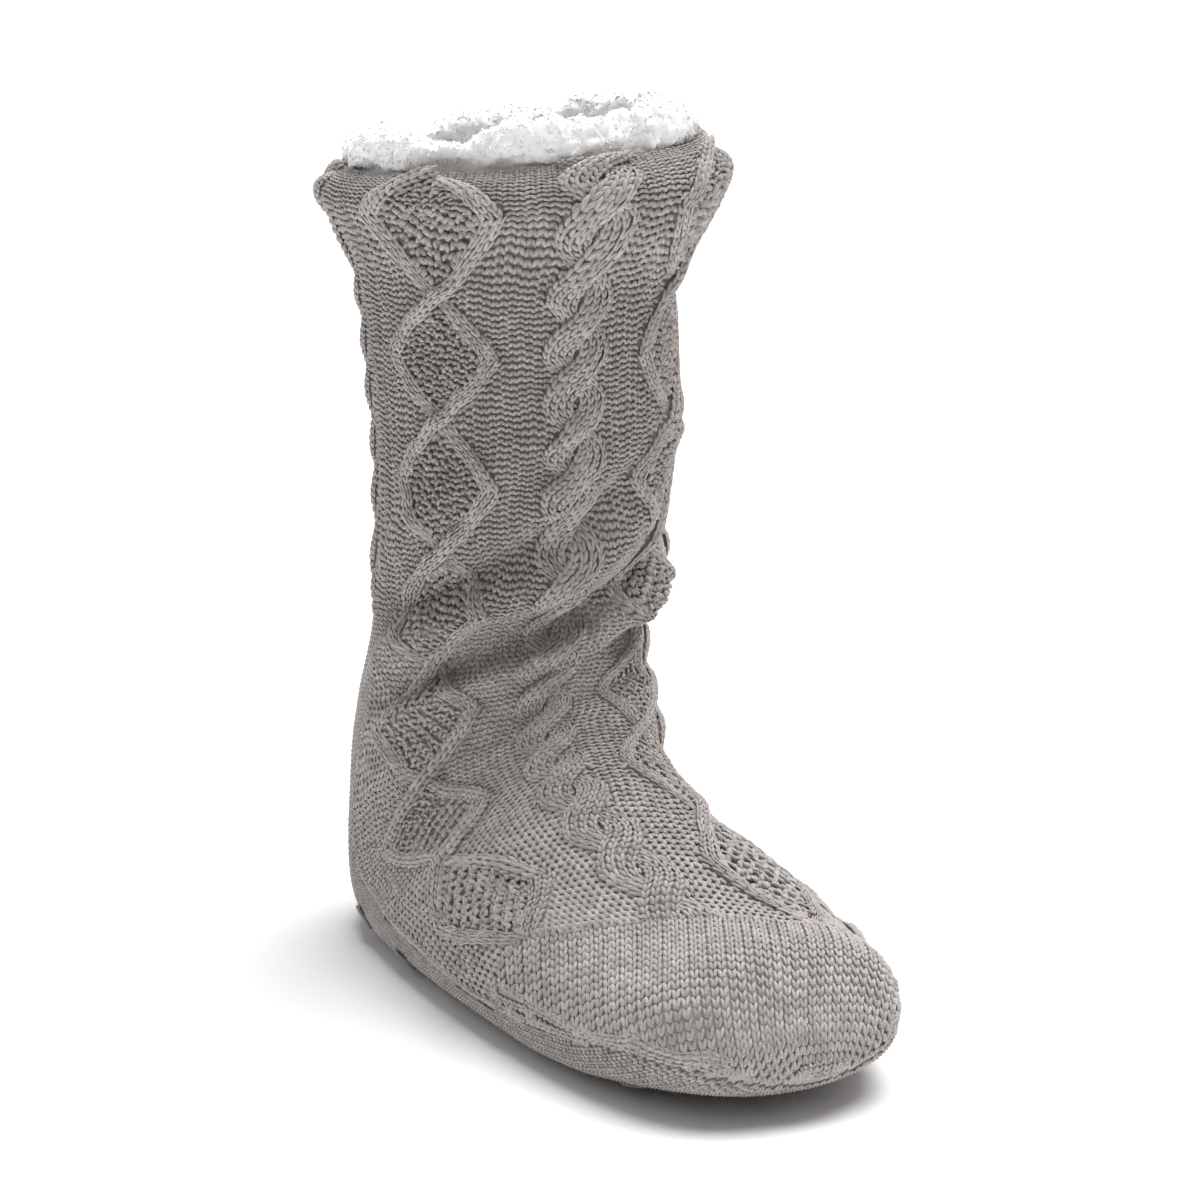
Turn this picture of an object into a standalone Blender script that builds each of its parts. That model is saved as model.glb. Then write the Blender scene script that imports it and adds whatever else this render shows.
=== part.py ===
"""A cable-knit slipper sock: knitted upper, plain knitted sole and heel, fleece lining, rubber dots.

The sock stands on its sole with the toe along -Y and the leg along +Z.
Distances along the foot are counted forward from the back of the heel.
"""

import math

import bmesh
import bpy
import numpy as np
from mathutils import Vector

# Overall sizes, in metres
FOOT_LENGTH = 0.257
COLLAR_HEIGHT = 0.267
ANKLE_HEIGHT = 0.115
LEG_AXIS = 0.068
LEG_DEPTH = 0.096
LEG_WIDTH = 0.093
BALL_WIDTH = 0.103
TOE_SPRING = 0.012

# Walls and the gap between pieces
KNIT_WALL = 0.003
FLEECE_WALL = 0.005
SEAM_GAP = 0.0003

# Raised knitting: diamond columns and cable columns
STRIP_RISE = 0.0026
FILL_RISE = 0.0006
FOLD_RISE = 0.0016

# Fleece rim above the knitted edge
RIM_HEIGHT = 0.009
RIM_THICKNESS = 0.011
RIM_LUMP = 0.0010

# Rubber dots under the sole
DOT_DIAMETER = 0.0095
DOT_THICKNESS = 0.0012
DOT_PITCH = 0.037
DOT_ROW_SPACING = 0.0117
DOT_SIDE_ROWS = 4
DOT_HEEL_MARGIN = 0.018
DOT_TOE_MARGIN = 0.030
DOT_SIDE_END = 0.100
MIDDLE_DOT = 0.119

SOLE_LIFT = DOT_THICKNESS + SEAM_GAP
LINING_DEPTH = KNIT_WALL + SEAM_GAP

# Leg sections from the knitted edge down to the ankle.
# Heights are shares of the way from ankle to collar, front and back are shares of the leg's depth
# from the leg's axis, half width is a share of the leg's width, side is a share of the ball's width.
LEG_SECTIONS = [
    # front height, back height, front, back, half width, side
    (1.000, 0.927, 0.710, -0.640, 0.570, 0.005),
    (0.937, 0.862, 0.790, -0.720, 0.640, 0.002),
    (0.737, 0.706, 0.605, -0.585, 0.526, 0.005),
    (0.539, 0.529, 0.530, -0.530, 0.502, 0.013),
    (0.323, 0.310, 0.490, -0.510, 0.486, 0.023),
    (0.125, 0.092, 0.428, -0.531, 0.470, 0.022),
    (0.000, -0.099, 0.385, -0.583, 0.468, 0.013),
]

# Foot sections from the ankle crease round the heel and on to the toe.
# Lengths are shares of the foot's length, heights of the ankle's height, widths of the ball's width.
# Low drops the widest point, and square flattens the underside.
FOOT_SECTIONS = [
    # top length, top height, sole length, sole height, toe lift, half width, side, low, square
    (0.420, 0.878, 0.016, 0.626, 0.00, 0.432, 0.000, 0.00, 2.1),
    (0.440, 0.817, 0.000, 0.409, 0.00, 0.442, -0.005, 0.00, 2.2),
    (0.463, 0.757, 0.012, 0.200, 0.00, 0.447, -0.010, 0.05, 2.4),
    (0.490, 0.704, 0.054, 0.043, 0.00, 0.451, -0.015, 0.15, 2.8),
    (0.529, 0.670, 0.140, -0.009, 0.00, 0.458, -0.027, 0.25, 3.2),
    (0.576, 0.635, 0.253, -0.017, 0.00, 0.470, -0.038, 0.30, 3.4),
    (0.630, 0.591, 0.377, -0.017, 0.00, 0.484, -0.042, 0.30, 3.4),
    (0.689, 0.548, 0.506, -0.017, 0.00, 0.496, -0.037, 0.30, 3.4),
    (0.751, 0.504, 0.630, -0.017, 0.00, 0.500, -0.031, 0.30, 3.4),
    (0.813, 0.461, 0.739, -0.009, 0.00, 0.488, -0.024, 0.30, 3.2),
    (0.875, 0.417, 0.829, 0.000, 0.08, 0.454, -0.020, 0.25, 2.8),
    (0.934, 0.365, 0.895, 0.000, 0.25, 0.396, -0.018, 0.20, 2.5),
    (0.973, 0.304, 0.946, 0.000, 0.42, 0.320, -0.016, 0.10, 2.2),
    (0.996, 0.226, 0.973, 0.000, 0.67, 0.209, -0.010, 0.00, 2.0),
    (1.000, 0.148, 0.992, 0.000, 1.00, 0.058, 0.000, 0.00, 2.0),
]
TIP = len(LEG_SECTIONS) + len(FOOT_SECTIONS) - 1

# The seam between the patterned upper and the plain sole, as angles from the front or top.
# The panel of the upper is turned a little toward the wearer's right on the foot.
SEAM_STATIONS = [0.0, 6.0, 7.0, 8.0, 9.0, 10.0, 11.0, 12.5, 14.0, 15.5, 17.5, 19.0, 21.0]
RIGHT_SEAM = [-92, -92, -95, -101, -108, -102, -96, -97, -99, -93, -87, -86, -90]
LEFT_SEAM = [104, 102, 97, 90, 84, 80, 79, 79, 80, 81, 84, 87, 90]
HEEL_STATION = 5.5

# Stations where the strands of the diamonds cross, down the wearer's right and down the left.
# The right side runs short because the panel is turned on the foot.
ROWS_PER_DIAMOND = 5
RIGHT_CROSSINGS = [0.0, 2.12, 3.42, 4.78, 6.60, 9.30, 11.60, 13.75]
LEFT_CROSSINGS = [0.0, 2.12, 3.48, 4.75, 6.50, 9.40, 13.00, 16.60]
SKEW_START = -64.0
SKEW_END = 23.0

# Pattern columns: kind, angle on the leg, angle on the foot, half width on the leg and on the foot
FRONT_COLUMNS = [
    ("diamond", -61, -64, 24.0, 23.0),
    ("cable", -10, -19, 12.0, 10.0),
    ("diamond", 40, 23, 23.0, 21.0),
    ("cable", 84, 59, 11.5, 9.5),
]
BACK_COLUMNS = [
    ("diamond", 129, 129, 18.0, 18.0),
    ("cable", 170, 170, 11.0, 11.0),
    ("diamond", 209, 209, 18.0, 18.0),
    ("cable", 251, 251, 11.0, 11.0),
]
STRAND_SHARE = 0.20

# Folds at the front of the ankle: station and angle at each end, width in stations, rise or fall
FOLDS = [
    # start station, start angle, end station, end angle, width, height share
    (6.4, -95, 4.9, 20, 0.35, 1.0),
    (5.6, -95, 4.1, 10, 0.35, -0.8),
    (7.6, -80, 5.9, 50, 0.40, 0.8),
    (7.0, -80, 5.4, 50, 0.30, -1.0),
]


def clear_scene():
    """Take away whatever the new file holds."""
    for thing in list(bpy.data.objects):
        bpy.data.objects.remove(thing, do_unlink=True)


def section_table():
    """Both section tables in metres: top length and height, back length and height, and the rest."""
    rise = COLLAR_HEIGHT - ANKLE_HEIGHT
    rows = []
    for front_z, back_z, front, back, half, side in LEG_SECTIONS:
        rows.append((
            LEG_AXIS + front * LEG_DEPTH,
            ANKLE_HEIGHT + front_z * rise,
            LEG_AXIS + back * LEG_DEPTH,
            ANKLE_HEIGHT + back_z * rise,
            half * LEG_WIDTH,
            side * BALL_WIDTH,
            0.0,
            2.0,
        ))
    for top, top_z, sole, sole_z, lift, half, side, low, square in FOOT_SECTIONS:
        rows.append((
            top * FOOT_LENGTH,
            top_z * ANKLE_HEIGHT,
            sole * FOOT_LENGTH,
            sole_z * ANKLE_HEIGHT + lift * TOE_SPRING,
            half * BALL_WIDTH,
            side * BALL_WIDTH,
            low,
            square,
        ))
    return np.array(rows)


def smooth_through(rows, where):
    """A monotone cubic curve through evenly numbered rows, read at the stations given."""
    step = np.diff(rows, axis=0)
    before = step[:-1]
    after = step[1:]
    same_way = before * after > 0
    total = np.where(same_way, before + after, 1.0)
    slope = np.zeros_like(rows)
    slope[1:-1] = np.where(same_way, 2 * before * after / total, 0.0)
    slope[0] = step[0]
    slope[-1] = step[-1]
    where = np.clip(np.asarray(where, dtype=float), 0, len(rows) - 1)
    low = np.minimum(where.astype(int), len(rows) - 2)
    u = (where - low)[..., None]
    return (
        (2 * u**3 - 3 * u**2 + 1) * rows[low]
        + (u**3 - 2 * u**2 + u) * slope[low]
        + (3 * u**2 - 2 * u**3) * rows[low + 1]
        + (u**3 - u**2) * slope[low + 1]
    )


SECTIONS = section_table()


def skin(station, angle):
    """Points on the plain outer surface of the knitting, before folds and raised strips."""
    station, angle = np.broadcast_arrays(station, angle)
    at = smooth_through(SECTIONS, station)
    turn = np.radians(angle)
    up = np.cos(turn)
    out = np.sin(turn)
    power = np.where(up < 0, 2 / at[..., 7], 1.0)
    across = np.sign(out) * np.abs(out) ** power
    along = np.sign(up) * np.abs(up) ** power
    along = along - at[..., 6] * (1 - along**2)
    middle = (at[..., 0:2] + at[..., 2:4]) / 2
    half = (at[..., 0:2] - at[..., 2:4]) / 2
    forward = middle[..., 0] + half[..., 0] * along
    height = np.maximum(middle[..., 1] + half[..., 1] * along, 0.0)
    x = at[..., 5] + at[..., 4] * across
    return np.stack([x, MIDDLE_DOT - forward, height + SOLE_LIFT], axis=-1)


def skin_normal(station, angle):
    """The outward direction of the plain surface."""
    ahead = np.clip(np.asarray(station) + 0.05, 0, TIP)
    behind = np.clip(np.asarray(station) - 0.05, 0, TIP)
    down = skin(ahead, angle) - skin(behind, angle)
    round_ = skin(station, np.asarray(angle) + 1.0) - skin(station, np.asarray(angle) - 1.0)
    normal = np.cross(down, round_)
    return normal / np.maximum(np.linalg.norm(normal, axis=-1, keepdims=True), 1e-12)


def fold_height(station, angle):
    """Height of the soft folds at the front of the ankle."""
    station, angle = np.broadcast_arrays(np.asarray(station, float), np.asarray(angle, float))
    total = np.zeros(station.shape)
    for start, start_angle, end, end_angle, width, share in FOLDS:
        along = (angle - start_angle) / (end_angle - start_angle)
        centre = start + (end - start) * along
        ends = np.clip(np.minimum(along, 1 - along) * 4 + 0.4, 0, 1)
        total += share * FOLD_RISE * ends * np.exp(-(((station - centre) / width) ** 2))
    return total


def layer(station, angle, depth):
    """Points at a depth under the folded surface, or above it where the depth is negative."""
    station, angle = np.broadcast_arrays(np.asarray(station, float), np.asarray(angle, float))
    wrapped = np.where(angle > 180, angle - 360, angle)
    lift = fold_height(station, wrapped) - depth
    return skin(station, angle) + skin_normal(station, angle) * np.asarray(lift)[..., None]


def stations_of_rows(crossings):
    """Stations of the knitted rows down one side: along the pattern, then shared out over the toe."""
    table = np.array(crossings)[:, None]
    count = (len(crossings) - 1) * ROWS_PER_DIAMOND
    patterned = smooth_through(table, np.arange(count + 1) / ROWS_PER_DIAMOND)[:, 0]
    cap = np.linspace(patterned[-1], TIP, 8)[1:]
    return np.concatenate([patterned, cap])


RIGHT_STATIONS = stations_of_rows(RIGHT_CROSSINGS)
LEFT_STATIONS = stations_of_rows(LEFT_CROSSINGS)
CAP_ROW = (len(RIGHT_CROSSINGS) - 1) * ROWS_PER_DIAMOND
LAST_ROW = len(RIGHT_STATIONS) - 1
HEEL_ROW = 2 * int(np.searchsorted(RIGHT_STATIONS, HEEL_STATION) / 2)


def row_stations(row, angles):
    """Stations of one row at the angles given, from its right end over the front to its left end."""
    angles = np.asarray(angles, dtype=float)
    front = np.clip((angles - SKEW_START) / (SKEW_END - SKEW_START), 0, 1)
    back = np.clip((250 - angles) / 140, 0, 1)
    share = np.where(angles < 100, front, back)
    return RIGHT_STATIONS[row] + (LEFT_STATIONS[row] - RIGHT_STATIONS[row]) * share


def seam_angles(row):
    """Angles of the right and the left seam on one row."""
    right = float(np.interp(RIGHT_STATIONS[row], SEAM_STATIONS, RIGHT_SEAM))
    left = float(np.interp(LEFT_STATIONS[row], SEAM_STATIONS, LEFT_SEAM))
    return right, left


def half_gap_angle(row, angle):
    """Half of the gap between two pieces, as an angle on the section."""
    station = row_stations(row, angle)
    reach = np.linalg.norm(skin(station, angle + 1.0) - skin(station, angle - 1.0)) / 2
    return 0.5 * SEAM_GAP / max(reach, 1e-6)


def diamond_lines(row, half):
    """Line offsets and heights across a diamond column: two strands around a filled middle."""
    phase = (row % ROWS_PER_DIAMOND) / ROWS_PER_DIAMOND
    strand = STRAND_SHARE * half
    reach = (half - strand) * math.sin(math.pi * phase) ** 0.8
    inner = max(reach - strand, 0.12 * half)
    middle = FILL_RISE if reach > strand else STRIP_RISE
    offsets = [-(reach + strand), -max(reach, 0.2 * half), -inner * 0.9, 0.0]
    heights = [0.0, STRIP_RISE, middle, middle]
    offsets += [-value for value in reversed(offsets[:3])]
    heights += list(reversed(heights[:3]))
    return offsets, heights


def cable_lines(row, half):
    """Line offsets and heights across a cable column, which crosses on every second row."""
    crossing = row % 2 == 0
    reach = 0.62 * half if crossing else 0.80 * half
    middle = STRIP_RISE if crossing else 0.15 * STRIP_RISE
    edge = reach + STRAND_SHARE * half
    offsets = [-edge, -0.6 * reach, 0.0, 0.6 * reach, edge]
    heights = [0.0, STRIP_RISE, middle, STRIP_RISE, 0.0]
    return offsets, heights


def pattern_lines(row, columns, start, end):
    """Angles and heights of all lines of the pattern between two limits of one row."""
    foot_share = float(np.clip((RIGHT_STATIONS[row] - 6.0) / 3.0, 0, 1))
    patterned = 0 < row < CAP_ROW
    angles = [start]
    heights = [0.0]
    for number, (kind, leg_angle, foot_angle, leg_half, foot_half) in enumerate(columns):
        centre = leg_angle + (foot_angle - leg_angle) * foot_share
        half = leg_half + (foot_half - leg_half) * foot_share
        if kind == "diamond":
            offsets, rises = diamond_lines(row, half)
        else:
            offsets, rises = cable_lines(row, half)
        if number > 0:
            angles.append((angles[-1] + centre + offsets[0]) / 2)
            heights.append(0.0)
        angles += [centre + offset for offset in offsets]
        heights += [rise if patterned else 0.0 for rise in rises]
    angles.append(end)
    heights.append(0.0)
    if not patterned:
        angles = list(np.linspace(start, end, len(angles)))
    return np.array(angles), np.array(heights)


def even_lines(start, end, count):
    """Evenly turned angles from one limit to the other."""
    return np.linspace(start, end, count + 1)


def points(mesh, places):
    """Add a line of vertices to a mesh."""
    return [mesh.verts.new(Vector(place)) for place in places]


def strip(mesh, first, second):
    """Join two lines of as many vertices, with every diagonal the same way round."""
    for i in range(len(first) - 1):
        mesh.faces.new((first[i], first[i + 1], second[i + 1]))
        mesh.faces.new((first[i], second[i + 1], second[i]))


def fan(mesh, line, tip):
    """Close a line of vertices to one point."""
    for i in range(len(line) - 1):
        mesh.faces.new((line[i], line[i + 1], tip))


def edge_strip(mesh, fine, coarse):
    """Close the wall between a fine line and a coarse line with half as many steps."""
    for i in range(len(coarse) - 1):
        first, middle, last = fine[2 * i: 2 * i + 3]
        mesh.faces.new((first, middle, coarse[i]))
        mesh.faces.new((middle, last, coarse[i + 1]))
        mesh.faces.new((middle, coarse[i + 1], coarse[i]))


def toe_point(depth, shift):
    """The foremost point of a layer, on the seam at the toe."""
    ahead = skin(TIP, 0.0)
    below = skin(TIP, 180.0)
    middle = (ahead + below) / 2
    return Vector((middle[0], ahead[1] - SEAM_GAP + depth, middle[2] + shift))


def finish(mesh, name, colour, roughness):
    """Turn the mesh into a named, smoothly shaded object with its own material."""
    bmesh.ops.recalc_face_normals(mesh, faces=mesh.faces[:])
    data = bpy.data.meshes.new(name)
    mesh.to_mesh(data)
    mesh.free()
    data.shade_smooth()
    data.set_sharp_from_angle(angle=math.radians(50))
    thing = bpy.data.objects.new(name, data)
    PARTS.objects.link(thing)
    thing.data.materials.append(material(name, colour, roughness))
    return thing


def material(name, colour, roughness):
    """A plain finish for one piece."""
    finish_ = bpy.data.materials.new(name + "_finish")
    finish_.use_nodes = True
    shader = finish_.node_tree.nodes["Principled BSDF"]
    shader.inputs["Base Color"].default_value = (*colour, 1.0)
    shader.inputs["Roughness"].default_value = roughness
    shader.inputs["Metallic"].default_value = 0.0
    return finish_


def row_layer(row, angles, depths):
    """One row of points at the angles and depths given."""
    return layer(row_stations(row, angles), angles, depths)


def knit_upper():
    """Leg, instep and toe cap, knitted whole: one wall with diamonds and cables raised on it."""
    mesh = bmesh.new()
    outer = []
    inner = []
    for row in range(LAST_ROW + 1):
        right, left = seam_angles(row)
        lap = half_gap_angle(row, left) if row >= HEEL_ROW else 0.0
        above = np.array([0, 0, SEAM_GAP / 2 if row == HEEL_ROW else 0.0])
        angles, heights = pattern_lines(row, FRONT_COLUMNS, right + lap, left - lap)
        line = points(mesh, row_layer(row, angles, -heights))
        if row <= HEEL_ROW:
            angles, heights = pattern_lines(row, BACK_COLUMNS, left, right + 360)
            heights = heights * (row < HEEL_ROW)
            line = line + points(mesh, (row_layer(row, angles, -heights) + above)[1:-1])
        outer.append(line)
        if row % 2 == 1:
            continue
        line = points(mesh, row_layer(row, even_lines(right + lap, left - lap, 14), KNIT_WALL))
        if row <= HEEL_ROW:
            angles = even_lines(left, right + 360, 14)
            line = line + points(mesh, (row_layer(row, angles, KNIT_WALL) + above)[1:-1])
        inner.append(line)
    close_upper(mesh, outer, inner)
    return finish(mesh, "knit_upper", (0.40, 0.385, 0.37), 0.95)


def close_upper(mesh, outer, inner):
    """Faces of the upper: round the leg down to the heel, then over the instep to the toe."""
    front = 29
    inner_front = 15
    for row in range(LAST_ROW):
        if row < HEEL_ROW:
            strip(mesh, outer[row] + outer[row][:1], outer[row + 1] + outer[row + 1][:1])
        else:
            strip(mesh, outer[row][:front], outer[row + 1][:front])
    for number in range(LAST_ROW // 2):
        if 2 * number < HEEL_ROW:
            strip(mesh, inner[number] + inner[number][:1], inner[number + 1] + inner[number + 1][:1])
        else:
            strip(mesh, inner[number][:inner_front], inner[number + 1][:inner_front])
    tip = mesh.verts.new(toe_point(0.0, SEAM_GAP / 2))
    inner_tip = mesh.verts.new(toe_point(KNIT_WALL, SEAM_GAP / 2))
    fan(mesh, outer[-1], tip)
    fan(mesh, inner[-1], inner_tip)
    edge_strip(mesh, outer[0] + outer[0][:1], inner[0] + inner[0][:1])
    heel = outer[HEEL_ROW]
    inner_heel = inner[HEEL_ROW // 2]
    edge_strip(mesh, heel[front - 1:] + heel[:1], inner_heel[inner_front - 1:] + inner_heel[:1])
    for last, inner_last in ((0, 0), (front - 1, inner_front - 1)):
        edge_strip(
            mesh,
            [outer[row][last] for row in range(HEEL_ROW, LAST_ROW + 1)],
            [line[inner_last] for line in inner[HEEL_ROW // 2:]],
        )
        mesh.faces.new((outer[-1][last], tip, inner[-1][inner_last]))
        mesh.faces.new((tip, inner_tip, inner[-1][inner_last]))


def sole_heel():
    """The plain knitted sole, whose back end turns up round the heel."""
    mesh = bmesh.new()
    outer = []
    inner = []
    for row in range(HEEL_ROW, LAST_ROW + 1):
        right, left = seam_angles(row)
        lap = half_gap_angle(row, left)
        angles = even_lines(left + lap, right + 360 - lap, 14)
        drop = np.array([0, 0, -SEAM_GAP / 2 if row == HEEL_ROW else 0.0])
        outer.append(points(mesh, row_layer(row, angles, 0.0) + drop))
        if row % 2 == 0:
            inner.append(points(mesh, row_layer(row, angles, KNIT_WALL) + drop))
    for first, second in zip(outer, outer[1:]):
        strip(mesh, first, second)
    for first, second in zip(inner, inner[1:]):
        strip(mesh, first, second)
    tip = mesh.verts.new(toe_point(0.0, -SEAM_GAP / 2))
    inner_tip = mesh.verts.new(toe_point(KNIT_WALL, -SEAM_GAP / 2))
    fan(mesh, outer[-1], tip)
    fan(mesh, inner[-1], inner_tip)
    strip(mesh, outer[0], inner[0])
    for last in (0, -1):
        edge_strip(mesh, [line[last] for line in outer], [line[last] for line in inner])
        mesh.faces.new((outer[-1][last], tip, inner[-1][last]))
        mesh.faces.new((tip, inner_tip, inner[-1][last]))
    return finish(mesh, "sole_heel", (0.40, 0.385, 0.37), 0.95)


def lump(angle):
    """Uneven swelling of the fleece rim round the collar."""
    turn = np.radians(angle)
    return 0.6 * np.sin(5 * turn + 0.7) + 0.4 * np.sin(3 * turn + 2.1) + 0.5 * np.sin(7 * turn + 4.0)


def rim_profile():
    """Height over the knitted edge and depth from its outer surface, from the outside over to the inside."""
    return [
        (SEAM_GAP, LINING_DEPTH),
        (0.12 * RIM_HEIGHT, 0.2 * KNIT_WALL),
        (0.50 * RIM_HEIGHT, -0.4 * KNIT_WALL),
        (0.85 * RIM_HEIGHT, 0.4 * KNIT_WALL),
        (1.00 * RIM_HEIGHT, 0.45 * RIM_THICKNESS),
        (0.85 * RIM_HEIGHT, 0.90 * RIM_THICKNESS),
        (0.45 * RIM_HEIGHT, 1.08 * RIM_THICKNESS),
        (0.05 * RIM_HEIGHT, 1.00 * RIM_THICKNESS),
    ]


def lining_angles(row):
    """Angles of the lining's lines, the same as on the inner side of the knitting."""
    right, left = seam_angles(row)
    front = even_lines(right, left, 14)
    back = even_lines(left, right + 360, 14)
    return np.concatenate([front, back[1:-1]])


def lining_lines(mesh, first, last, depth, shift):
    """Lines of vertices round the lining at one depth, every second row, the split row moved by a shift."""
    lines = []
    for row in range(first, last + 1, 2):
        move = np.array([0, 0, shift if row == HEEL_ROW else 0.0])
        lines.append(points(mesh, row_layer(row, lining_angles(row), depth) + move))
    return lines


def rim_lines(mesh):
    """Lines of vertices round the thick uneven rim, from the outside over the top to the inside."""
    angles = lining_angles(0)
    flat = skin_normal(0.0, angles) * np.array([1, 1, 0])
    flat = flat / np.linalg.norm(flat, axis=-1, keepdims=True)
    lines = []
    for number, (height, depth) in enumerate(rim_profile()):
        swell = RIM_LUMP * lump(angles + 12 * number) * (number > 1)
        places = skin(0.0, angles) + flat * (swell - depth)[..., None]
        lines.append(points(mesh, places + np.array([0, 0, 1]) * (height + swell)[..., None]))
    return lines


def join_lines(mesh, lines):
    """Join each closed line of vertices to the next all the way round."""
    for first, second in zip(lines, lines[1:]):
        strip(mesh, first + first[:1], second + second[:1])


def leg_lining():
    """The pile fleece inside the leg, with a thick uneven rim over the knitted edge."""
    mesh = bmesh.new()
    outer = lining_lines(mesh, 0, HEEL_ROW, LINING_DEPTH, SEAM_GAP / 2)
    inner = lining_lines(mesh, 2, HEEL_ROW, LINING_DEPTH + FLEECE_WALL, SEAM_GAP / 2)
    rim = rim_lines(mesh)
    join_lines(mesh, outer)
    join_lines(mesh, rim[::-1] + outer[:1])
    join_lines(mesh, rim[-1:] + inner)
    join_lines(mesh, [outer[-1], inner[-1]])
    return finish(mesh, "leg_lining", (0.86, 0.85, 0.83), 1.0)


def foot_lining():
    """The pile fleece inside the foot, sewn to the leg's lining above the heel."""
    mesh = bmesh.new()
    outer = lining_lines(mesh, HEEL_ROW, LAST_ROW, LINING_DEPTH, -SEAM_GAP / 2)
    inner = lining_lines(mesh, HEEL_ROW, LAST_ROW - 4, LINING_DEPTH + FLEECE_WALL, -SEAM_GAP / 2)
    join_lines(mesh, outer)
    join_lines(mesh, inner)
    join_lines(mesh, [outer[0], inner[0]])
    for lines, depth in ((outer, LINING_DEPTH), (inner, LINING_DEPTH + FLEECE_WALL)):
        fan(mesh, lines[-1] + lines[-1][:1], mesh.verts.new(toe_point(depth, 0.0)))
    return finish(mesh, "foot_lining", (0.86, 0.85, 0.83), 1.0)


def dot_places():
    """Places of the dots: length from the heel, and distance round from the sole's middle line."""
    places = []
    for number in range(-DOT_SIDE_ROWS, DOT_SIDE_ROWS + 1):
        start = MIDDLE_DOT + (number % 2) * DOT_PITCH / 2
        first = math.ceil((DOT_HEEL_MARGIN - start) / DOT_PITCH)
        last = math.floor((FOOT_LENGTH - DOT_TOE_MARGIN - start) / DOT_PITCH)
        for step in range(first, last + 1):
            length = start + step * DOT_PITCH
            if abs(number) == DOT_SIDE_ROWS and length > DOT_SIDE_END:
                continue
            places.append((length, number * DOT_ROW_SPACING))
    return places


def under_sole(length, across):
    """Point and outward direction on the sole at a length, a distance round from its middle."""
    stations = np.linspace(len(LEG_SECTIONS) + 1.0, TIP - 0.2, 260)
    middle = skin(stations, 180.0)
    reach = MIDDLE_DOT - middle[:, 1]
    flat = skin(stations, 180.0)[:, 2] <= SOLE_LIFT + 1e-7
    flat_start = float(reach[flat].min())
    flat_end = float(reach[flat].max())
    station = float(np.interp(np.clip(length, flat_start, flat_end), reach, stations))
    sign = 1.0 if across >= 0 else -1.0
    turns = np.linspace(180, 180 - sign * 95, 400)
    line = skin(station, turns)
    run = np.concatenate([[0], np.cumsum(np.linalg.norm(np.diff(line, axis=0), axis=1))])
    angle = float(np.interp(abs(across), run, turns))
    for _ in range(6):
        here = skin(station, angle)
        missing = length - (MIDDLE_DOT - here[1])
        station = float(np.clip(station + missing / (0.13 * FOOT_LENGTH), 8.0, TIP - 0.3))
        line = skin(station, turns)
        run = np.concatenate([[0], np.cumsum(np.linalg.norm(np.diff(line, axis=0), axis=1))])
        angle = float(np.interp(abs(across), run, turns))
    return skin(station, angle), skin_normal(station, angle)


def grip_dots(sole):
    """Moulded rubber dots in a staggered pattern, each laid against the sole."""
    corners = [Vector(vertex.co) for vertex in sole.data.vertices]
    rubber = material("grip_dot", (0.17, 0.17, 0.185), 0.6)
    disc = bmesh.new()
    bmesh.ops.create_cone(
        disc,
        cap_ends=True,
        segments=12,
        radius1=DOT_DIAMETER / 2,
        radius2=DOT_DIAMETER / 2,
        depth=DOT_THICKNESS,
    )
    shape = bpy.data.meshes.new("grip_dot")
    disc.to_mesh(shape)
    disc.free()
    shape.materials.append(rubber)
    shape.shade_smooth()
    shape.set_sharp_from_angle(angle=math.radians(50))
    number = 0
    for length, across in dot_places():
        place, out = under_sole(length, across)
        place = Vector(place)
        out = Vector(out)
        if place.z <= SOLE_LIFT + 1e-6:
            out = Vector((0, 0, -1))
        near = [corner for corner in corners if (corner - place).length < DOT_DIAMETER]
        stand_off = max([0.0] + [(corner - place).dot(out) for corner in near])
        place = place + out * (stand_off + SEAM_GAP + DOT_THICKNESS / 2)
        if place.z - DOT_THICKNESS / 2 * abs(out.z) - DOT_DIAMETER / 2 * math.hypot(out.x, out.y) < -1e-6:
            continue
        number += 1
        dot = bpy.data.objects.new("grip_dot_%02d" % number, shape)
        dot.location = place
        dot.rotation_euler = out.to_track_quat("Z", "Y").to_euler()
        PARTS.objects.link(dot)


clear_scene()
PARTS = bpy.data.collections.new("slipper_sock")
bpy.context.scene.collection.children.link(PARTS)
knit_upper()
plain_sole = sole_heel()
leg_lining()
foot_lining()
grip_dots(plain_sole)
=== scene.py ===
# %% [markdown]
# # A cable-knit slipper sock
# One slipper sock stands empty on its sole. The upper is knitted in one piece: columns of diamonds and
# columns of cables stand on a ground of purl stitches, and the toe cap is plain. The sole and heel are
# plain stocking stitch with rubber dots, and the inside is pile fleece that stands over the collar.
# A knit like this could be one surface with a bump map, but its outline and shadows come from real loops,
# so each stitch here is a small piece of yarn that Geometry Nodes set on the sock's own form.

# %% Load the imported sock
import math

import bpy
import numpy as np
from mathutils import Matrix, Vector, noise


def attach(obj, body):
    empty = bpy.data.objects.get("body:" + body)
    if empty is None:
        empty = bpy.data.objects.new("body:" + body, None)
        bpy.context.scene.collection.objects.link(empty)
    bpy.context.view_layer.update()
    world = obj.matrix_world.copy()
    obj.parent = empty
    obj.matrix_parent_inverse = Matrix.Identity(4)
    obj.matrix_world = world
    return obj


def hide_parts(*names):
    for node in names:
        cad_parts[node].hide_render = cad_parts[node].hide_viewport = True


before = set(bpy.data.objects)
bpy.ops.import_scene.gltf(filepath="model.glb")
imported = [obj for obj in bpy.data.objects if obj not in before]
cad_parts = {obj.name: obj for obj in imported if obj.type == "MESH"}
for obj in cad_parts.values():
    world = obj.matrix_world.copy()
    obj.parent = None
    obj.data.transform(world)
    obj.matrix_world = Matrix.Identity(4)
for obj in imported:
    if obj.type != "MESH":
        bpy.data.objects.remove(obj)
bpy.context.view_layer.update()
print("CAD nodes:", len(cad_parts))

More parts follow.
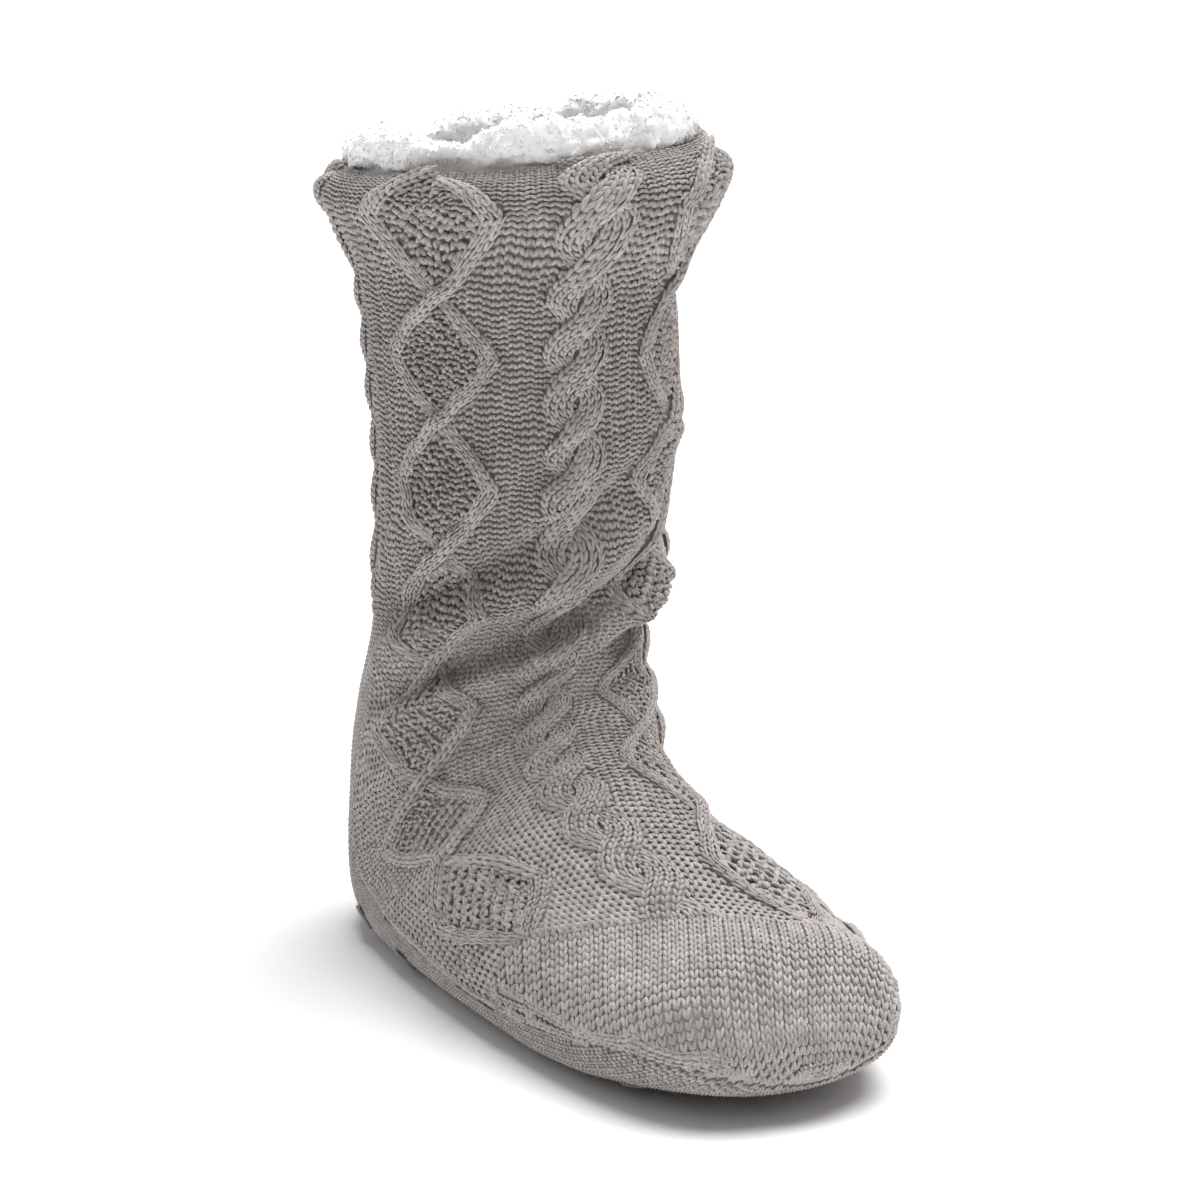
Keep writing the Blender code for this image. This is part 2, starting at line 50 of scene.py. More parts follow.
# %% [markdown]
# ## The camera
# The view is the photograph's: a long lens, about a metre and a quarter away and 44 cm above the floor,
# in front of the sock and to its wearer's right. It is aimed at the middle of the one sock, so the
# sock fills the frame. The camera comes first so that every later piece is judged in this view.

# %% The camera
CAMERA_PLACE = (-0.5983, -1.0797, 0.4434)
CAMERA_YAW = -0.5074
CAMERA_PITCH = -0.2508
LENS = 122.0
SENSOR = 36.0

eye = bpy.data.cameras.new("studio_camera")
eye.lens = LENS
eye.sensor_width = SENSOR
camera = bpy.data.objects.new("studio_camera", eye)
camera.location = CAMERA_PLACE
camera.rotation_euler = (math.pi / 2 + CAMERA_PITCH, 0.0, CAMERA_YAW)
bpy.context.scene.collection.objects.link(camera)
bpy.context.scene.camera = camera
print("Lens:", LENS, "mm")

# %% [markdown]
# ## The sock's form
# A sock is a tube that bends at the heel. It is described by sections: each has a front point, a back
# point and a width, from the collar down the leg, round the heel and on to the toe. A place on the sock
# is then a station (which section) and an angle (0 at the front or top, negative on the wearer's right).
# The same sections shape the CAD model, so the knitting lies where the solids are. Only the collar's lean
# and the soft folds depart from them, by a few millimetres.

# %% Sizes of the sock, in metres
FOOT_LENGTH = 0.257
COLLAR_HEIGHT = 0.267
ANKLE_HEIGHT = 0.115
LEG_AXIS = 0.068
LEG_DEPTH = 0.096
LEG_WIDTH = 0.093
BALL_WIDTH = 0.103
TOE_SPRING = 0.012
KNIT_WALL = 0.003
FLEECE_WALL = 0.005
MIDDLE_DOT = 0.119
SOLE_LIFT = 0.0015

LEG_SECTIONS = [
    # front height, back height, front, back, half width, side
    (1.000, 0.927, 0.710, -0.640, 0.570, 0.005),
    (0.937, 0.862, 0.790, -0.720, 0.640, 0.002),
    (0.737, 0.706, 0.605, -0.585, 0.526, 0.005),
    (0.539, 0.529, 0.530, -0.530, 0.502, 0.013),
    (0.323, 0.310, 0.490, -0.510, 0.486, 0.023),
    (0.125, 0.092, 0.428, -0.531, 0.470, 0.022),
    (0.000, -0.099, 0.385, -0.583, 0.468, 0.013),
]
FOOT_SECTIONS = [
    # top length, top height, sole length, sole height, toe lift, half width, side, low, square
    (0.420, 0.878, 0.016, 0.626, 0.00, 0.432, 0.000, 0.00, 2.1),
    (0.440, 0.817, 0.000, 0.409, 0.00, 0.442, -0.005, 0.00, 2.2),
    (0.463, 0.757, 0.012, 0.200, 0.00, 0.447, -0.010, 0.05, 2.4),
    (0.490, 0.704, 0.054, 0.043, 0.00, 0.451, -0.015, 0.15, 2.8),
    (0.529, 0.670, 0.140, -0.009, 0.00, 0.458, -0.027, 0.25, 3.2),
    (0.576, 0.635, 0.253, -0.017, 0.00, 0.470, -0.038, 0.30, 3.4),
    (0.630, 0.591, 0.377, -0.017, 0.00, 0.484, -0.042, 0.30, 3.4),
    (0.689, 0.548, 0.506, -0.017, 0.00, 0.496, -0.037, 0.30, 3.4),
    (0.751, 0.504, 0.630, -0.017, 0.00, 0.500, -0.031, 0.30, 3.4),
    (0.813, 0.461, 0.739, -0.009, 0.00, 0.488, -0.024, 0.30, 3.2),
    (0.875, 0.417, 0.829, 0.000, 0.08, 0.454, -0.020, 0.25, 2.8),
    (0.934, 0.365, 0.895, 0.000, 0.25, 0.396, -0.018, 0.20, 2.5),
    (0.973, 0.304, 0.946, 0.000, 0.42, 0.320, -0.016, 0.10, 2.2),
    (0.996, 0.226, 0.973, 0.000, 0.67, 0.209, -0.010, 0.00, 2.0),
    (1.000, 0.148, 0.992, 0.000, 1.00, 0.058, 0.000, 0.00, 2.0),
]
TIP = len(LEG_SECTIONS) + len(FOOT_SECTIONS) - 1


def section_table():
    """Both tables in metres: top length and height, back length and height, half width and the rest."""
    rise = COLLAR_HEIGHT - ANKLE_HEIGHT
    rows = []
    for front_z, back_z, front, back, half, side in LEG_SECTIONS:
        rows.append((
            LEG_AXIS + front * LEG_DEPTH,
            ANKLE_HEIGHT + front_z * rise,
            LEG_AXIS + back * LEG_DEPTH,
            ANKLE_HEIGHT + back_z * rise,
            half * LEG_WIDTH,
            side * BALL_WIDTH,
            0.0,
            2.0,
        ))
    for top, top_z, sole, sole_z, lift, half, side, low, square in FOOT_SECTIONS:
        rows.append((
            top * FOOT_LENGTH,
            top_z * ANKLE_HEIGHT,
            sole * FOOT_LENGTH,
            sole_z * ANKLE_HEIGHT + lift * TOE_SPRING,
            half * BALL_WIDTH,
            side * BALL_WIDTH,
            low,
            square,
        ))
    return np.array(rows)


SECTIONS = section_table()
print("Sections:", len(SECTIONS))

# %% A smooth surface through the sections


def smooth_through(rows, where):
    """A monotone cubic curve through evenly numbered rows, read at the places given."""
    step = np.diff(rows, axis=0)
    before = step[:-1]
    after = step[1:]
    same_way = before * after > 0
    total = np.where(same_way, before + after, 1.0)
    slope = np.zeros_like(rows)
    slope[1:-1] = np.where(same_way, 2 * before * after / total, 0.0)
    slope[0] = step[0]
    slope[-1] = step[-1]
    where = np.clip(np.asarray(where, dtype=float), 0, len(rows) - 1)
    low = np.minimum(where.astype(int), len(rows) - 2)
    u = (where - low)[..., None]
    return (
        (2 * u**3 - 3 * u**2 + 1) * rows[low]
        + (u**3 - 2 * u**2 + u) * slope[low]
        + (3 * u**2 - 2 * u**3) * rows[low + 1]
        + (u**3 - u**2) * slope[low + 1]
    )


COLLAR_TILT = 0.0036
TILTED_STATIONS = 3.0


def skin(station, angle):
    """Points on the plain outer surface of the sock, whose collar leans up on the wearer's left."""
    station, angle = np.broadcast_arrays(station, angle)
    at = smooth_through(SECTIONS, station)
    turn = np.radians(angle)
    up = np.cos(turn)
    out = np.sin(turn)
    power = np.where(up < 0, 2 / at[..., 7], 1.0)
    across = np.sign(out) * np.abs(out) ** power
    along = np.sign(up) * np.abs(up) ** power
    along = along - at[..., 6] * (1 - along**2)
    middle = (at[..., 0:2] + at[..., 2:4]) / 2
    half = (at[..., 0:2] - at[..., 2:4]) / 2
    forward = middle[..., 0] + half[..., 0] * along
    height = np.maximum(middle[..., 1] + half[..., 1] * along, 0.0)
    height = height + COLLAR_TILT * out * np.clip(1 - station / TILTED_STATIONS, 0, 1) ** 2
    x = at[..., 5] + at[..., 4] * across
    return np.stack([x, MIDDLE_DOT - forward, height + SOLE_LIFT], axis=-1)


def unit(vectors):
    """Vectors of length one."""
    return vectors / np.maximum(np.linalg.norm(vectors, axis=-1, keepdims=True), 1e-12)


def run_along(line):
    """Length along a line of points, from its first point to each."""
    return np.concatenate([[0], np.cumsum(np.linalg.norm(np.diff(line, axis=0), axis=1))])


def skin_normal(station, angle):
    """The outward direction of the plain surface."""
    ahead = np.clip(np.asarray(station) + 0.05, 0, TIP)
    behind = np.clip(np.asarray(station) - 0.05, 0, TIP)
    down = skin(ahead, angle) - skin(behind, angle)
    round_ = skin(station, np.asarray(angle) + 1.0) - skin(station, np.asarray(angle) - 1.0)
    return unit(np.cross(down, round_))


ankle_width = float(np.ptp(skin(4.0, np.arange(0, 360, 10.0))[:, 0]))
print("Leg width above the ankle, mm:", round(1000 * ankle_width, 1))

# %% [markdown]
# ## Creases at the ankle
# An empty sock sags a little where the leg meets the foot. The photograph shows soft diagonal folds there,
# higher on the wearer's left, two slight dents under the collar and a bulge across the toe. A cloth
# simulation would put them anywhere, so each is given as a soft ridge or trough between two places on the
# form.

# %% The listed folds
FOLD_RISE = 0.0055
FOLDS = [
    # start station, start angle, end station, end angle, width in stations, height share
    (6.5, -95, 4.4, 30, 0.34, 1.0),
    (5.9, -95, 3.8, 30, 0.26, -1.1),
    (7.9, -85, 5.6, 50, 0.38, 0.9),
    (7.2, -85, 5.0, 50, 0.30, -1.1),
    (5.0, -100, 3.3, -10, 0.26, 0.6),
    (4.4, -30, 3.5, 60, 0.28, 0.7),
    (9.2, -60, 7.0, 60, 0.50, -0.6),
    (6.0, 10, 4.9, 100, 0.32, 0.8),
    (6.6, 10, 5.5, 100, 0.28, -0.8),
    (6.2, 130, 6.4, 230, 0.35, -0.5),
    (1.3, -80, 1.6, -20, 0.35, -0.5),
    (2.1, 0, 2.5, 80, 0.50, -0.4),
    (17.7, -75, 18.0, 70, 1.00, 0.85),
    (15.2, -60, 16.0, 30, 0.70, -0.25),
]


def fold_height(station, angle):
    """Height of the soft folds at a place on the sock."""
    station, angle = np.broadcast_arrays(np.asarray(station, float), np.asarray(angle, float))
    total = np.zeros(station.shape)
    for start, start_angle, end, end_angle, width, share in FOLDS:
        turned = np.where(angle > start_angle + 300, angle - 360, angle)
        turned = np.where(turned < start_angle - 60, turned + 360, turned)
        along = (turned - start_angle) / (end_angle - start_angle)
        centre = start + (end - start) * along
        ends = np.clip(np.minimum(along, 1 - along) * 4 + 0.4, 0, 1)
        total += share * FOLD_RISE * ends * np.exp(-(((station - centre) / width) ** 2))
    return total


def layer(station, angle, height):
    """Points at a height over the folded surface, or under it where the height is negative."""
    station, angle = np.broadcast_arrays(np.asarray(station, float), np.asarray(angle, float))
    lift = fold_height(station, angle) + height
    return skin(station, angle) + skin_normal(station, angle) * np.asarray(lift)[..., None]


print("Folds:", len(FOLDS))

# %% [markdown]
# ## The knitted pattern
# Twenty courses of knitting make one diamond, and eight make one crossing of a cable. The diamonds were
# measured down both sides of the panel, which is turned a little on the foot, so each row of the pattern
# has its own station on the right and on the left. One row here is four courses.

# %% Rows, columns and the seam
ROWS_PER_DIAMOND = 5
COURSES_PER_ROW = 4
FIRST_ROW = -1
RIGHT_CROSSINGS = [0.25, 2.12, 3.42, 4.78, 6.60, 9.30, 11.60, 14.30]
LEFT_CROSSINGS = [0.25, 2.12, 3.48, 4.75, 6.50, 9.40, 13.00, 17.10]
CAP_ROW = ROWS_PER_DIAMOND * (len(RIGHT_CROSSINGS) - 1)
LAST_ROW = CAP_ROW + 7
HEEL_ROW = 18
TAPER_ROWS = 1.2
ROW_UNEVENNESS = 0.018
SKEW_START = -64.0
SKEW_END = 10.0
BACK_STARTS = 100.0
BACK_SKEW_WIDTH = 140.0
BACK_SKEW_END = 250.0

SEAM_STATIONS = [0.0, 6.0, 7.0, 8.0, 9.0, 10.0, 11.0, 12.5, 14.0, 15.5, 17.5, 19.0, 20.0, 20.6, 21.0]
RIGHT_SEAM = [-92, -92, -95, -101, -108, -102, -96, -97, -99, -93, -89, -92, -108, -140, -176]
LEFT_SEAM = [104, 102, 97, 90, 84, 80, 79, 79, 80, 81, 85, 92, 108, 140, 176]

COLUMNS = [
    # kind, angle on the leg and on the foot, half width on the leg and on the foot, last row
    ("diamond", -61, -64, 24.0, 23.0, CAP_ROW),
    ("cable", -10, -19, 12.5, 11.0, CAP_ROW),
    ("diamond", 40, 23, 23.0, 21.0, CAP_ROW),
    ("cable", 84, 59, 11.5, 10.0, CAP_ROW),
    ("diamond", 127, 127, 18.0, 18.0, HEEL_ROW),
    ("cable", 166, 166, 11.0, 11.0, HEEL_ROW),
    ("diamond", 203, 203, 17.0, 17.0, HEEL_ROW),
    ("cable", 238, 238, 9.5, 9.5, HEEL_ROW),
]


def side_station(crossings, row):
    """Station of a row on one side of the panel: through the crossings, then shared out over the toe."""
    table = np.array(crossings)[:, None]
    patterned = smooth_through(table, np.asarray(row, float) / ROWS_PER_DIAMOND)[..., 0]
    patterned = patterned * np.clip(1 - np.asarray(row, float) / FIRST_ROW, 0, 1)
    cap = crossings[-1] + (TIP - crossings[-1]) * (row - CAP_ROW) / (LAST_ROW - CAP_ROW)
    return np.where(np.asarray(row) <= CAP_ROW, patterned, cap)


def row_station(row, angle):
    """Station of a row at an angle, from the wearer's right over the front to the left and the back.

    Rows of a worn machine knit never run quite straight, so a few slow waves shift them a little.
    """
    right = side_station(RIGHT_CROSSINGS, row)
    left = side_station(LEFT_CROSSINGS, row)
    front = np.clip((angle - SKEW_START) / (SKEW_END - SKEW_START), 0, 1)
    back = np.clip((BACK_SKEW_END - angle) / BACK_SKEW_WIDTH, 0, 1)
    waves = np.sin(0.21 * angle + 1.7 * row) + np.sin(0.47 * angle - 0.9 * row) + np.sin(0.83 * row)
    uneven = ROW_UNEVENNESS * waves * np.clip(row / 2, 0, 1) * np.clip((CAP_ROW - row) / 2, 0, 1)
    return right + (left - right) * np.where(np.asarray(angle) < BACK_STARTS, front, back) + uneven


def seam_angles(row):
    """Angles of the right and the left seam on a row."""
    right = np.interp(side_station(RIGHT_CROSSINGS, row), SEAM_STATIONS, RIGHT_SEAM)
    left = np.interp(side_station(LEFT_CROSSINGS, row), SEAM_STATIONS, LEFT_SEAM)
    return right, left


def limits(row, back):
    """First and last angle of the front of the sock, or of its back and sole, on a row."""
    right, left = seam_angles(row)
    return (left, right + 360) if back else (right, left)


print("Courses in the pattern:", CAP_ROW * COURSES_PER_ROW)

# %% [markdown]
# ## Strands of diamonds and cables
# A diamond column is two strands that part and meet again. A cable is two strands that keep crossing.
# In both, the strand that runs from the upper right to the lower left lies on top at every crossing.
# Each strand is a path over the pattern's rows with its own height, so over and under come from one rule.

# %% Paths of the strands
STRAND_RISE = 0.0023
CROSSING_RISE = 0.0016
DIAMOND_STRAND = 0.150
CABLE_STRAND = 0.47
CABLE_SWEEP = 0.27
MOSS_RISE = 0.0002
CAP_STEP = 0.0006
FOOT_RELIEF = 0.75
BACK_RELIEF = 0.65
COVERED_SHARE = 0.92


def column_place(column, row):
    """Middle and half width of a column, in degrees, on a row."""
    foot_share = np.clip((side_station(RIGHT_CROSSINGS, row) - 6.0) / 3.0, 0, 1)
    middle = column[1] + (column[2] - column[1]) * foot_share
    half = column[3] + (column[4] - column[3]) * foot_share
    return middle, half


def strand_path(column, side, row):
    """Angle, half width in degrees and height of one strand of a column on a row.

    A cable's strand sweeps slowly over the other toward the wearer's right, then dives back quickly.
    """
    row = np.asarray(row, float)
    middle, half = column_place(column, row)
    if column[0] == "diamond":
        share = row / ROWS_PER_DIAMOND
        wave = np.sin(np.pi * share)
        straight = np.arcsin(wave) * 2 / np.pi
        reach = 0.5 * straight + 0.5 * wave
        width = DIAMOND_STRAND * half
        nearest = np.round(share)
        over = np.where(nearest % 2 == 1, 1.0, -1.0) * side
        close = np.exp(-(((share - nearest) * ROWS_PER_DIAMOND / 0.75) ** 2))
        angle = middle + side * reach * (half - width)
    else:
        turn = (row - (2 if side > 0 else 0)) / 4
        turn = turn - np.round(turn)
        sweep = np.minimum(np.abs(turn) / CABLE_SWEEP, 1)
        dive = np.clip((np.abs(turn) - CABLE_SWEEP) / (0.5 - CABLE_SWEEP), 0, 1)
        reach = -np.sign(turn) * np.sin(np.pi / 2 * sweep) * np.cos(np.pi / 2 * dive)
        over = np.cos(2 * np.pi * turn)
        close = 1.0
        width = half * (CABLE_STRAND + 0.05 * over)
        angle = middle + reach * (half - width)
    taper = np.clip((column[5] - row) / TAPER_ROWS, 0, 1)
    taper = taper * taper * (3 - 2 * taper)
    taper = taper * np.interp(row, [HEEL_ROW, HEEL_ROW + 8], [1.0, FOOT_RELIEF])
    if column[5] == HEEL_ROW:
        taper = taper * BACK_RELIEF
    height = (STRAND_RISE + CROSSING_RISE * over * close) * taper
    return angle, width, height


sample = strand_path(COLUMNS[1], 1, np.array([2.0]))
print("A cable strand on top stands proud by, mm:", round(1000 * float(sample[2][0]), 2))

# %% [markdown]
# The strands and the moss stitch together give the height of the pattern at any place. The stitches of the
# ground read it to know where they lie, and the wall under the stitches follows it.

# %% Height of the pattern over the ground


def over_the_strand(across):
    """Share of a strand's height at a place across it, from -1 to 1."""
    return np.sqrt(np.clip(1 - np.asarray(across) ** 2, 0, 1))


def pattern_height(row, angle):
    """Height of the pattern over the ground, and whether a place is under a strand or in a diamond."""
    row, angle = np.broadcast_arrays(np.asarray(row, float), np.asarray(angle, float))
    height = np.zeros(row.shape)
    covered = np.zeros(row.shape, bool)
    inside = np.zeros(row.shape, bool)
    for column in COLUMNS:
        middle, half = column_place(column, row)
        started = row >= (0 if column[0] == "diamond" else FIRST_ROW)
        near = (np.abs(angle - middle) < half * 1.2) & (row <= column[5]) & started
        for side in (1, -1):
            place, width, rise = strand_path(column, side, row)
            across = (angle - place) / width
            height = np.where(near, np.maximum(height, rise * over_the_strand(across)), height)
            covered |= near & (np.abs(across) < COVERED_SHARE)
            reach = np.abs(place - middle)
        if column[0] == "diamond":
            filled = near & (np.abs(angle - middle) < reach)
            inside |= filled
            height = np.where(filled, np.maximum(height, MOSS_RISE), height)
    return height, covered, inside


def cap_share(row):
    """One over the pattern, none on the cap, with a short slope between."""
    return np.clip((CAP_ROW - np.asarray(row, float)) / 0.4 + 0.5, 0, 1)


def knit_surface(row, angle, lift=0.0):
    """Points of the patterned upper on a row at an angle."""
    height = pattern_height(row, angle)[0] + CAP_STEP * cap_share(row)
    return layer(row_station(row, angle), angle, height + lift)


covered, inside = pattern_height(2.5, -61.0)[1:]
print("The middle of a diamond is moss stitch:", bool(inside) and not bool(covered))

# %% [markdown]
# ## Materials
# The yarn is an acrylic and wool blend, spun from lighter and darker fibres, so its grey is mottled and its
# surface is soft: rough, with a little sheen at grazing angles. A stitch is coloured by fibre noise in
# Object coordinates and by its own random shade. The yarn deep between the loops is the same yarn in a
# darker material: painted shade for the shadow between the loops.

# %% Helpers for materials


def linear(hex_colour):
    """A linear RGBA colour from an sRGB hex value."""
    channels = [int(hex_colour[i:i + 2], 16) / 255 for i in (1, 3, 5)]
    return tuple(c / 12.92 if c <= 0.04045 else ((c + 0.055) / 1.055) ** 2.4 for c in channels) + (1.0,)


def add_node(tree, kind, settings=None, values=None, links=None):
    """Add a node, set its settings and socket values, and link other sockets into it."""
    node = tree.nodes.new(kind)
    for name, value in (settings or {}).items():
        setattr(node, name, value)
    for name, value in (values or {}).items():
        node.inputs[name].default_value = value
    for name, socket in (links or {}).items():
        tree.links.new(socket, node.inputs[name])
    return node


def new_material(name):
    """A new node material with its tree and its main shader."""
    material = bpy.data.materials.new(name)
    material.use_nodes = True
    return material, material.node_tree, material.node_tree.nodes["Principled BSDF"]


def object_noise(tree, scale, detail, roughness=0.5):
    """Noise in Object coordinates, which are metres here, so it is the same size on every piece."""
    place = add_node(tree, "ShaderNodeTexCoord")
    grain = add_node(
        tree, "ShaderNodeTexNoise",
        values={"Scale": scale, "Detail": detail, "Roughness": roughness},
        links={"Vector": place.outputs["Object"]},
    )
    return grain.outputs["Fac"]


def times_plus(tree, value, factor, rest):
    """A value times a factor, plus another value."""
    total = add_node(
        tree, "ShaderNodeMath", {"operation": "MULTIPLY_ADD"}, {1: factor}, {0: value, 2: rest}
    )
    return total.outputs[0]


def own_shade(tree):
    """The shade that the node trees give to each stitch and each curl."""
    return add_node(tree, "ShaderNodeAttribute", {"attribute_name": "shade"}).outputs["Fac"]


def colour(tree, shader, share, steps):
    """Colour a shader through a Color Ramp with places and hex colours."""
    node = add_node(tree, "ShaderNodeValToRGB", links={"Fac": share})
    ramp = node.color_ramp
    while len(ramp.elements) < len(steps):
        ramp.elements.new(0.5)
    for element, (place, hex_colour) in zip(ramp.elements, steps):
        element.position = place
        element.color = linear(hex_colour)
    tree.links.new(node.outputs["Color"], shader.inputs["Base Color"])


def relief(tree, shader, height, strength, distance):
    """Give a shader fine relief, with its depth in metres."""
    bump = add_node(
        tree, "ShaderNodeBump", values={"Strength": strength, "Distance": distance},
        links={"Height": height},
    )
    tree.links.new(bump.outputs["Normal"], shader.inputs["Normal"])


def set_sockets(shader, values):
    """Set a shader's own sockets by their names."""
    for name, value in values.items():
        shader.inputs[name].default_value = value


print("White as linear:", linear("#ffffff"))

# %% The yarn
# Real fibres are about 0.02 mm, too fine to show, so their noise is drawn at half a millimetre.
FIBRE = 0.0005
YARN_LIGHT = "#c7c0bc"
YARN_MIDDLE = "#afa8a4"
YARN_DARK = "#97908c"


def knitted_yarn():
    """Brushed acrylic and wool yarn: mottled grey, matt, with a soft halo of fibres at its edges."""
    material, tree, shader = new_material("acrylic_wool_yarn_spun")
    fibres = object_noise(tree, 1 / FIBRE, 3.0, 0.65)
    blotches = object_noise(tree, 90.0, 2.0)
    mixed = times_plus(tree, own_shade(tree), 0.22, fibres)
    mixed = times_plus(tree, blotches, 0.20, mixed)
    colour(tree, shader, mixed, [(0.48, YARN_DARK), (0.70, YARN_MIDDLE), (0.92, YARN_LIGHT)])
    relief(tree, shader, fibres, 0.5, 0.0002)
    set_sockets(shader, {
        "Roughness": 0.92,
        "IOR": 1.5,
        "Specular IOR Level": 0.25,
        "Sheen Weight": 0.25,
        "Sheen Roughness": 0.6,
    })
    return material


def ground_with_painted_shade_and_light(name, dark, light):
    """The yarn deep between the loops, coloured darker than the loops as painted shade. The leg's copy is
    darker; where the foot stretches the knit flat, a lighter copy paints the brighter light on the top of
    the foot.
    """
    material, tree, shader = new_material(name)
    fibres = object_noise(tree, 1 / FIBRE, 2.0)
    colour(tree, shader, fibres, [(0.35, dark), (0.65, light)])
    relief(tree, shader, fibres, 0.6, 0.0003)
    set_sockets(shader, {"Roughness": 1.0, "Specular IOR Level": 0.1})
    return material


YARN = knitted_yarn()
# Painted shade: the yarn between the loops is coloured darker for the shadow that falls there.
GROUND_PAINTED_SHADE = ground_with_painted_shade_and_light("acrylic_wool_yarn_between_loops", "#76706c", "#958f8b")
# Painted light: the copy on the foot is lighter, for the brighter light that falls on the top of the foot.
FLAT_GROUND_PAINTED_LIGHT = ground_with_painted_shade_and_light("acrylic_wool_yarn_stretched_flat", "#a29c97", "#b9b3ae")
print("Yarn:", YARN.name, "with", GROUND_PAINTED_SHADE.name, "and", FLAT_GROUND_PAINTED_LIGHT.name)

# %% [markdown]
# Sherpa fleece and silicone rubber are the two other materials. The fleece's curls pass a little light on
# to each other, so it has some subsurface scattering, which softens the shadows between them. The rubber
# is smoother than the yarn, so a lower roughness gives it a soft shine.

# %% The fleece and the rubber


def sherpa_fleece():
    """Sherpa pile of crimped polyester: off-white curls, matt, with light passing between them."""
    material, tree, shader = new_material("sherpa_fleece_polyester")
    crimp = object_noise(tree, 700.0, 4.0, 0.7)
    mixed = times_plus(tree, own_shade(tree), 0.4, crimp)
    colour(tree, shader, mixed, [(0.35, "#fafaf9"), (0.75, "#fefefe")])
    relief(tree, shader, crimp, 0.2, 0.0005)
    set_sockets(shader, {
        "Roughness": 0.95,
        "Specular IOR Level": 0.2,
        "Sheen Weight": 0.3,
        "Sheen Roughness": 0.5,
        "Subsurface Weight": 0.2,
        "Subsurface Radius": (1.0, 1.0, 1.0),
        "Subsurface Scale": 0.001,
    })
    return material


def silicone_rubber():
    """Screen-printed silicone rubber: grey with a trace of blue, satin, uneven where it cured."""
    material, tree, shader = new_material("silicone_rubber_printed")
    cloudy = object_noise(tree, 400.0, 2.0)
    colour(tree, shader, cloudy, [(0.3, "#77777d"), (0.7, "#8b8b91")])
    relief(tree, shader, cloudy, 0.2, 0.0002)
    set_sockets(shader, {"Roughness": 0.42, "IOR": 1.41})
    return material


FLEECE = sherpa_fleece()
RUBBER = silicone_rubber()
print("Fleece and rubber:", FLEECE.name, RUBBER.name)

# %% [markdown]
# ## One stitch
# Seen from its right side, a knit stitch is a V: two legs of yarn that lean together. Seen from behind it
# is a purl bump: the head of one loop arched over the foot of the next. Thousands of them are needed, so
# each leg is a spindle of sixteen triangles. Smooth shading makes it read as round yarn. The finer knit of
# the sole and the stitches at the back are smaller in view, and their spindles have eight.

# %% Shapes of a stitch


def spindle(places, radius):
    """Vertices and faces of a closed spindle of yarn along a few places."""
    places = [Vector(place) for place in places]
    verts = [places[0]]
    for i in range(1, len(places) - 1):
        ahead = (places[i + 1] - places[i - 1]).normalized()
        side = ahead.cross(Vector((0, 0, 1))).normalized()
        up = side.cross(ahead).normalized()
        for across, over in ((1, 0), (0, 1), (-1, 0), (0, -1)):
            verts.append(places[i] + side * radius * across + up * radius * over)
    verts.append(places[-1])
    faces = []
    last = len(verts) - 1
    rings = len(places) - 2
    for k in range(4):
        after = (k + 1) % 4
        faces.append((0, 1 + after, 1 + k))
        for ring in range(rings - 1):
            a = 1 + 4 * ring
            faces.append((a + k, a + after, a + 4 + after, a + 4 + k))
        tail = 1 + 4 * (rings - 1)
        faces.append((tail + k, tail + after, last))
    return verts, faces


def new_piece(name, data):
    """A new object at the origin."""
    thing = bpy.data.objects.new(name, data)
    bpy.context.scene.collection.objects.link(thing)
    return thing


def smooth_piece(name, verts, faces, material=None):
    """A new smooth-shaded object at the origin from vertices and faces."""
    data = bpy.data.meshes.new(name)
    data.from_pydata([tuple(v) for v in verts], [], faces)
    if material:
        data.materials.append(material)
    data.shade_smooth()
    data.update()
    return new_piece(name, data)


def stitch_shape(name, spindles):
    """One small mesh from several spindles. It is only copied by the node trees, and removed at the end."""
    verts = []
    faces = []
    for places, radius in spindles:
        more_verts, more_faces = spindle(places, radius)
        faces += [tuple(index + len(verts) for index in face) for face in more_faces]
        verts += more_verts
    return smooth_piece(name, verts, faces)


def knit_leg(side):
    """Places along one leg of a knit stitch, for a stitch one unit wide and one unit long."""
    return [
        (0.05 * side, -0.50, -0.20),
        (0.15 * side, 0.00, 0.14),
        (0.31 * side, 0.62, 0.14),
        (0.42 * side, 1.10, -0.16),
    ]


KNIT = stitch_shape("knit_stitch", [(knit_leg(1), 0.25), (knit_leg(-1), 0.25)])
PURL = stitch_shape("purl_stitch", [
    ([(-0.60, -0.52, -0.24), (-0.38, -0.22, 0.06), (-0.14, 0.16, 0.12), (0.08, 0.42, -0.16)], 0.27),
    ([(-0.08, 0.42, -0.16), (0.14, 0.16, 0.12), (0.38, -0.22, 0.06), (0.60, -0.52, -0.24)], 0.27),
])
FINE_LEGS = [
    [(0.05 * side, -0.52, -0.20), (0.22 * side, 0.30, 0.17), (0.42 * side, 1.12, -0.16)] for side in (1, -1)
]
FINE_KNIT = stitch_shape("fine_knit_stitch", [(places, 0.30) for places in FINE_LEGS])
FINE_PURL = stitch_shape("fine_purl_stitch", [
    ([(-0.60, -0.52, -0.24), (-0.26, -0.03, 0.12), (0.08, 0.42, -0.16)], 0.31),
    ([(-0.08, 0.42, -0.16), (0.26, -0.03, 0.12), (0.60, -0.52, -0.24)], 0.31),
])
SLANT = stitch_shape("seam_stitch", [
    ([(-0.9, -0.5, -0.2), (-0.35, -0.2, 0.2), (0.35, 0.2, 0.2), (0.9, 0.5, -0.2)], 0.3),
])
for shape in (KNIT, PURL, FINE_KNIT, FINE_PURL, SLANT):
    print(shape.name, "faces:", len(shape.data.polygons))

# %% [markdown]
# ## Setting stitches on the form
# A grid of copies made by an Array modifier can't follow a bent tube. Instead the script works out where
# each stitch goes, which way its wale runs and how far it stretches, and keeps these on a cloud of points.
# A small node tree copies the stitch onto each point, with a little unevenness from a fixed seed.

# %% The node tree that sets stitches


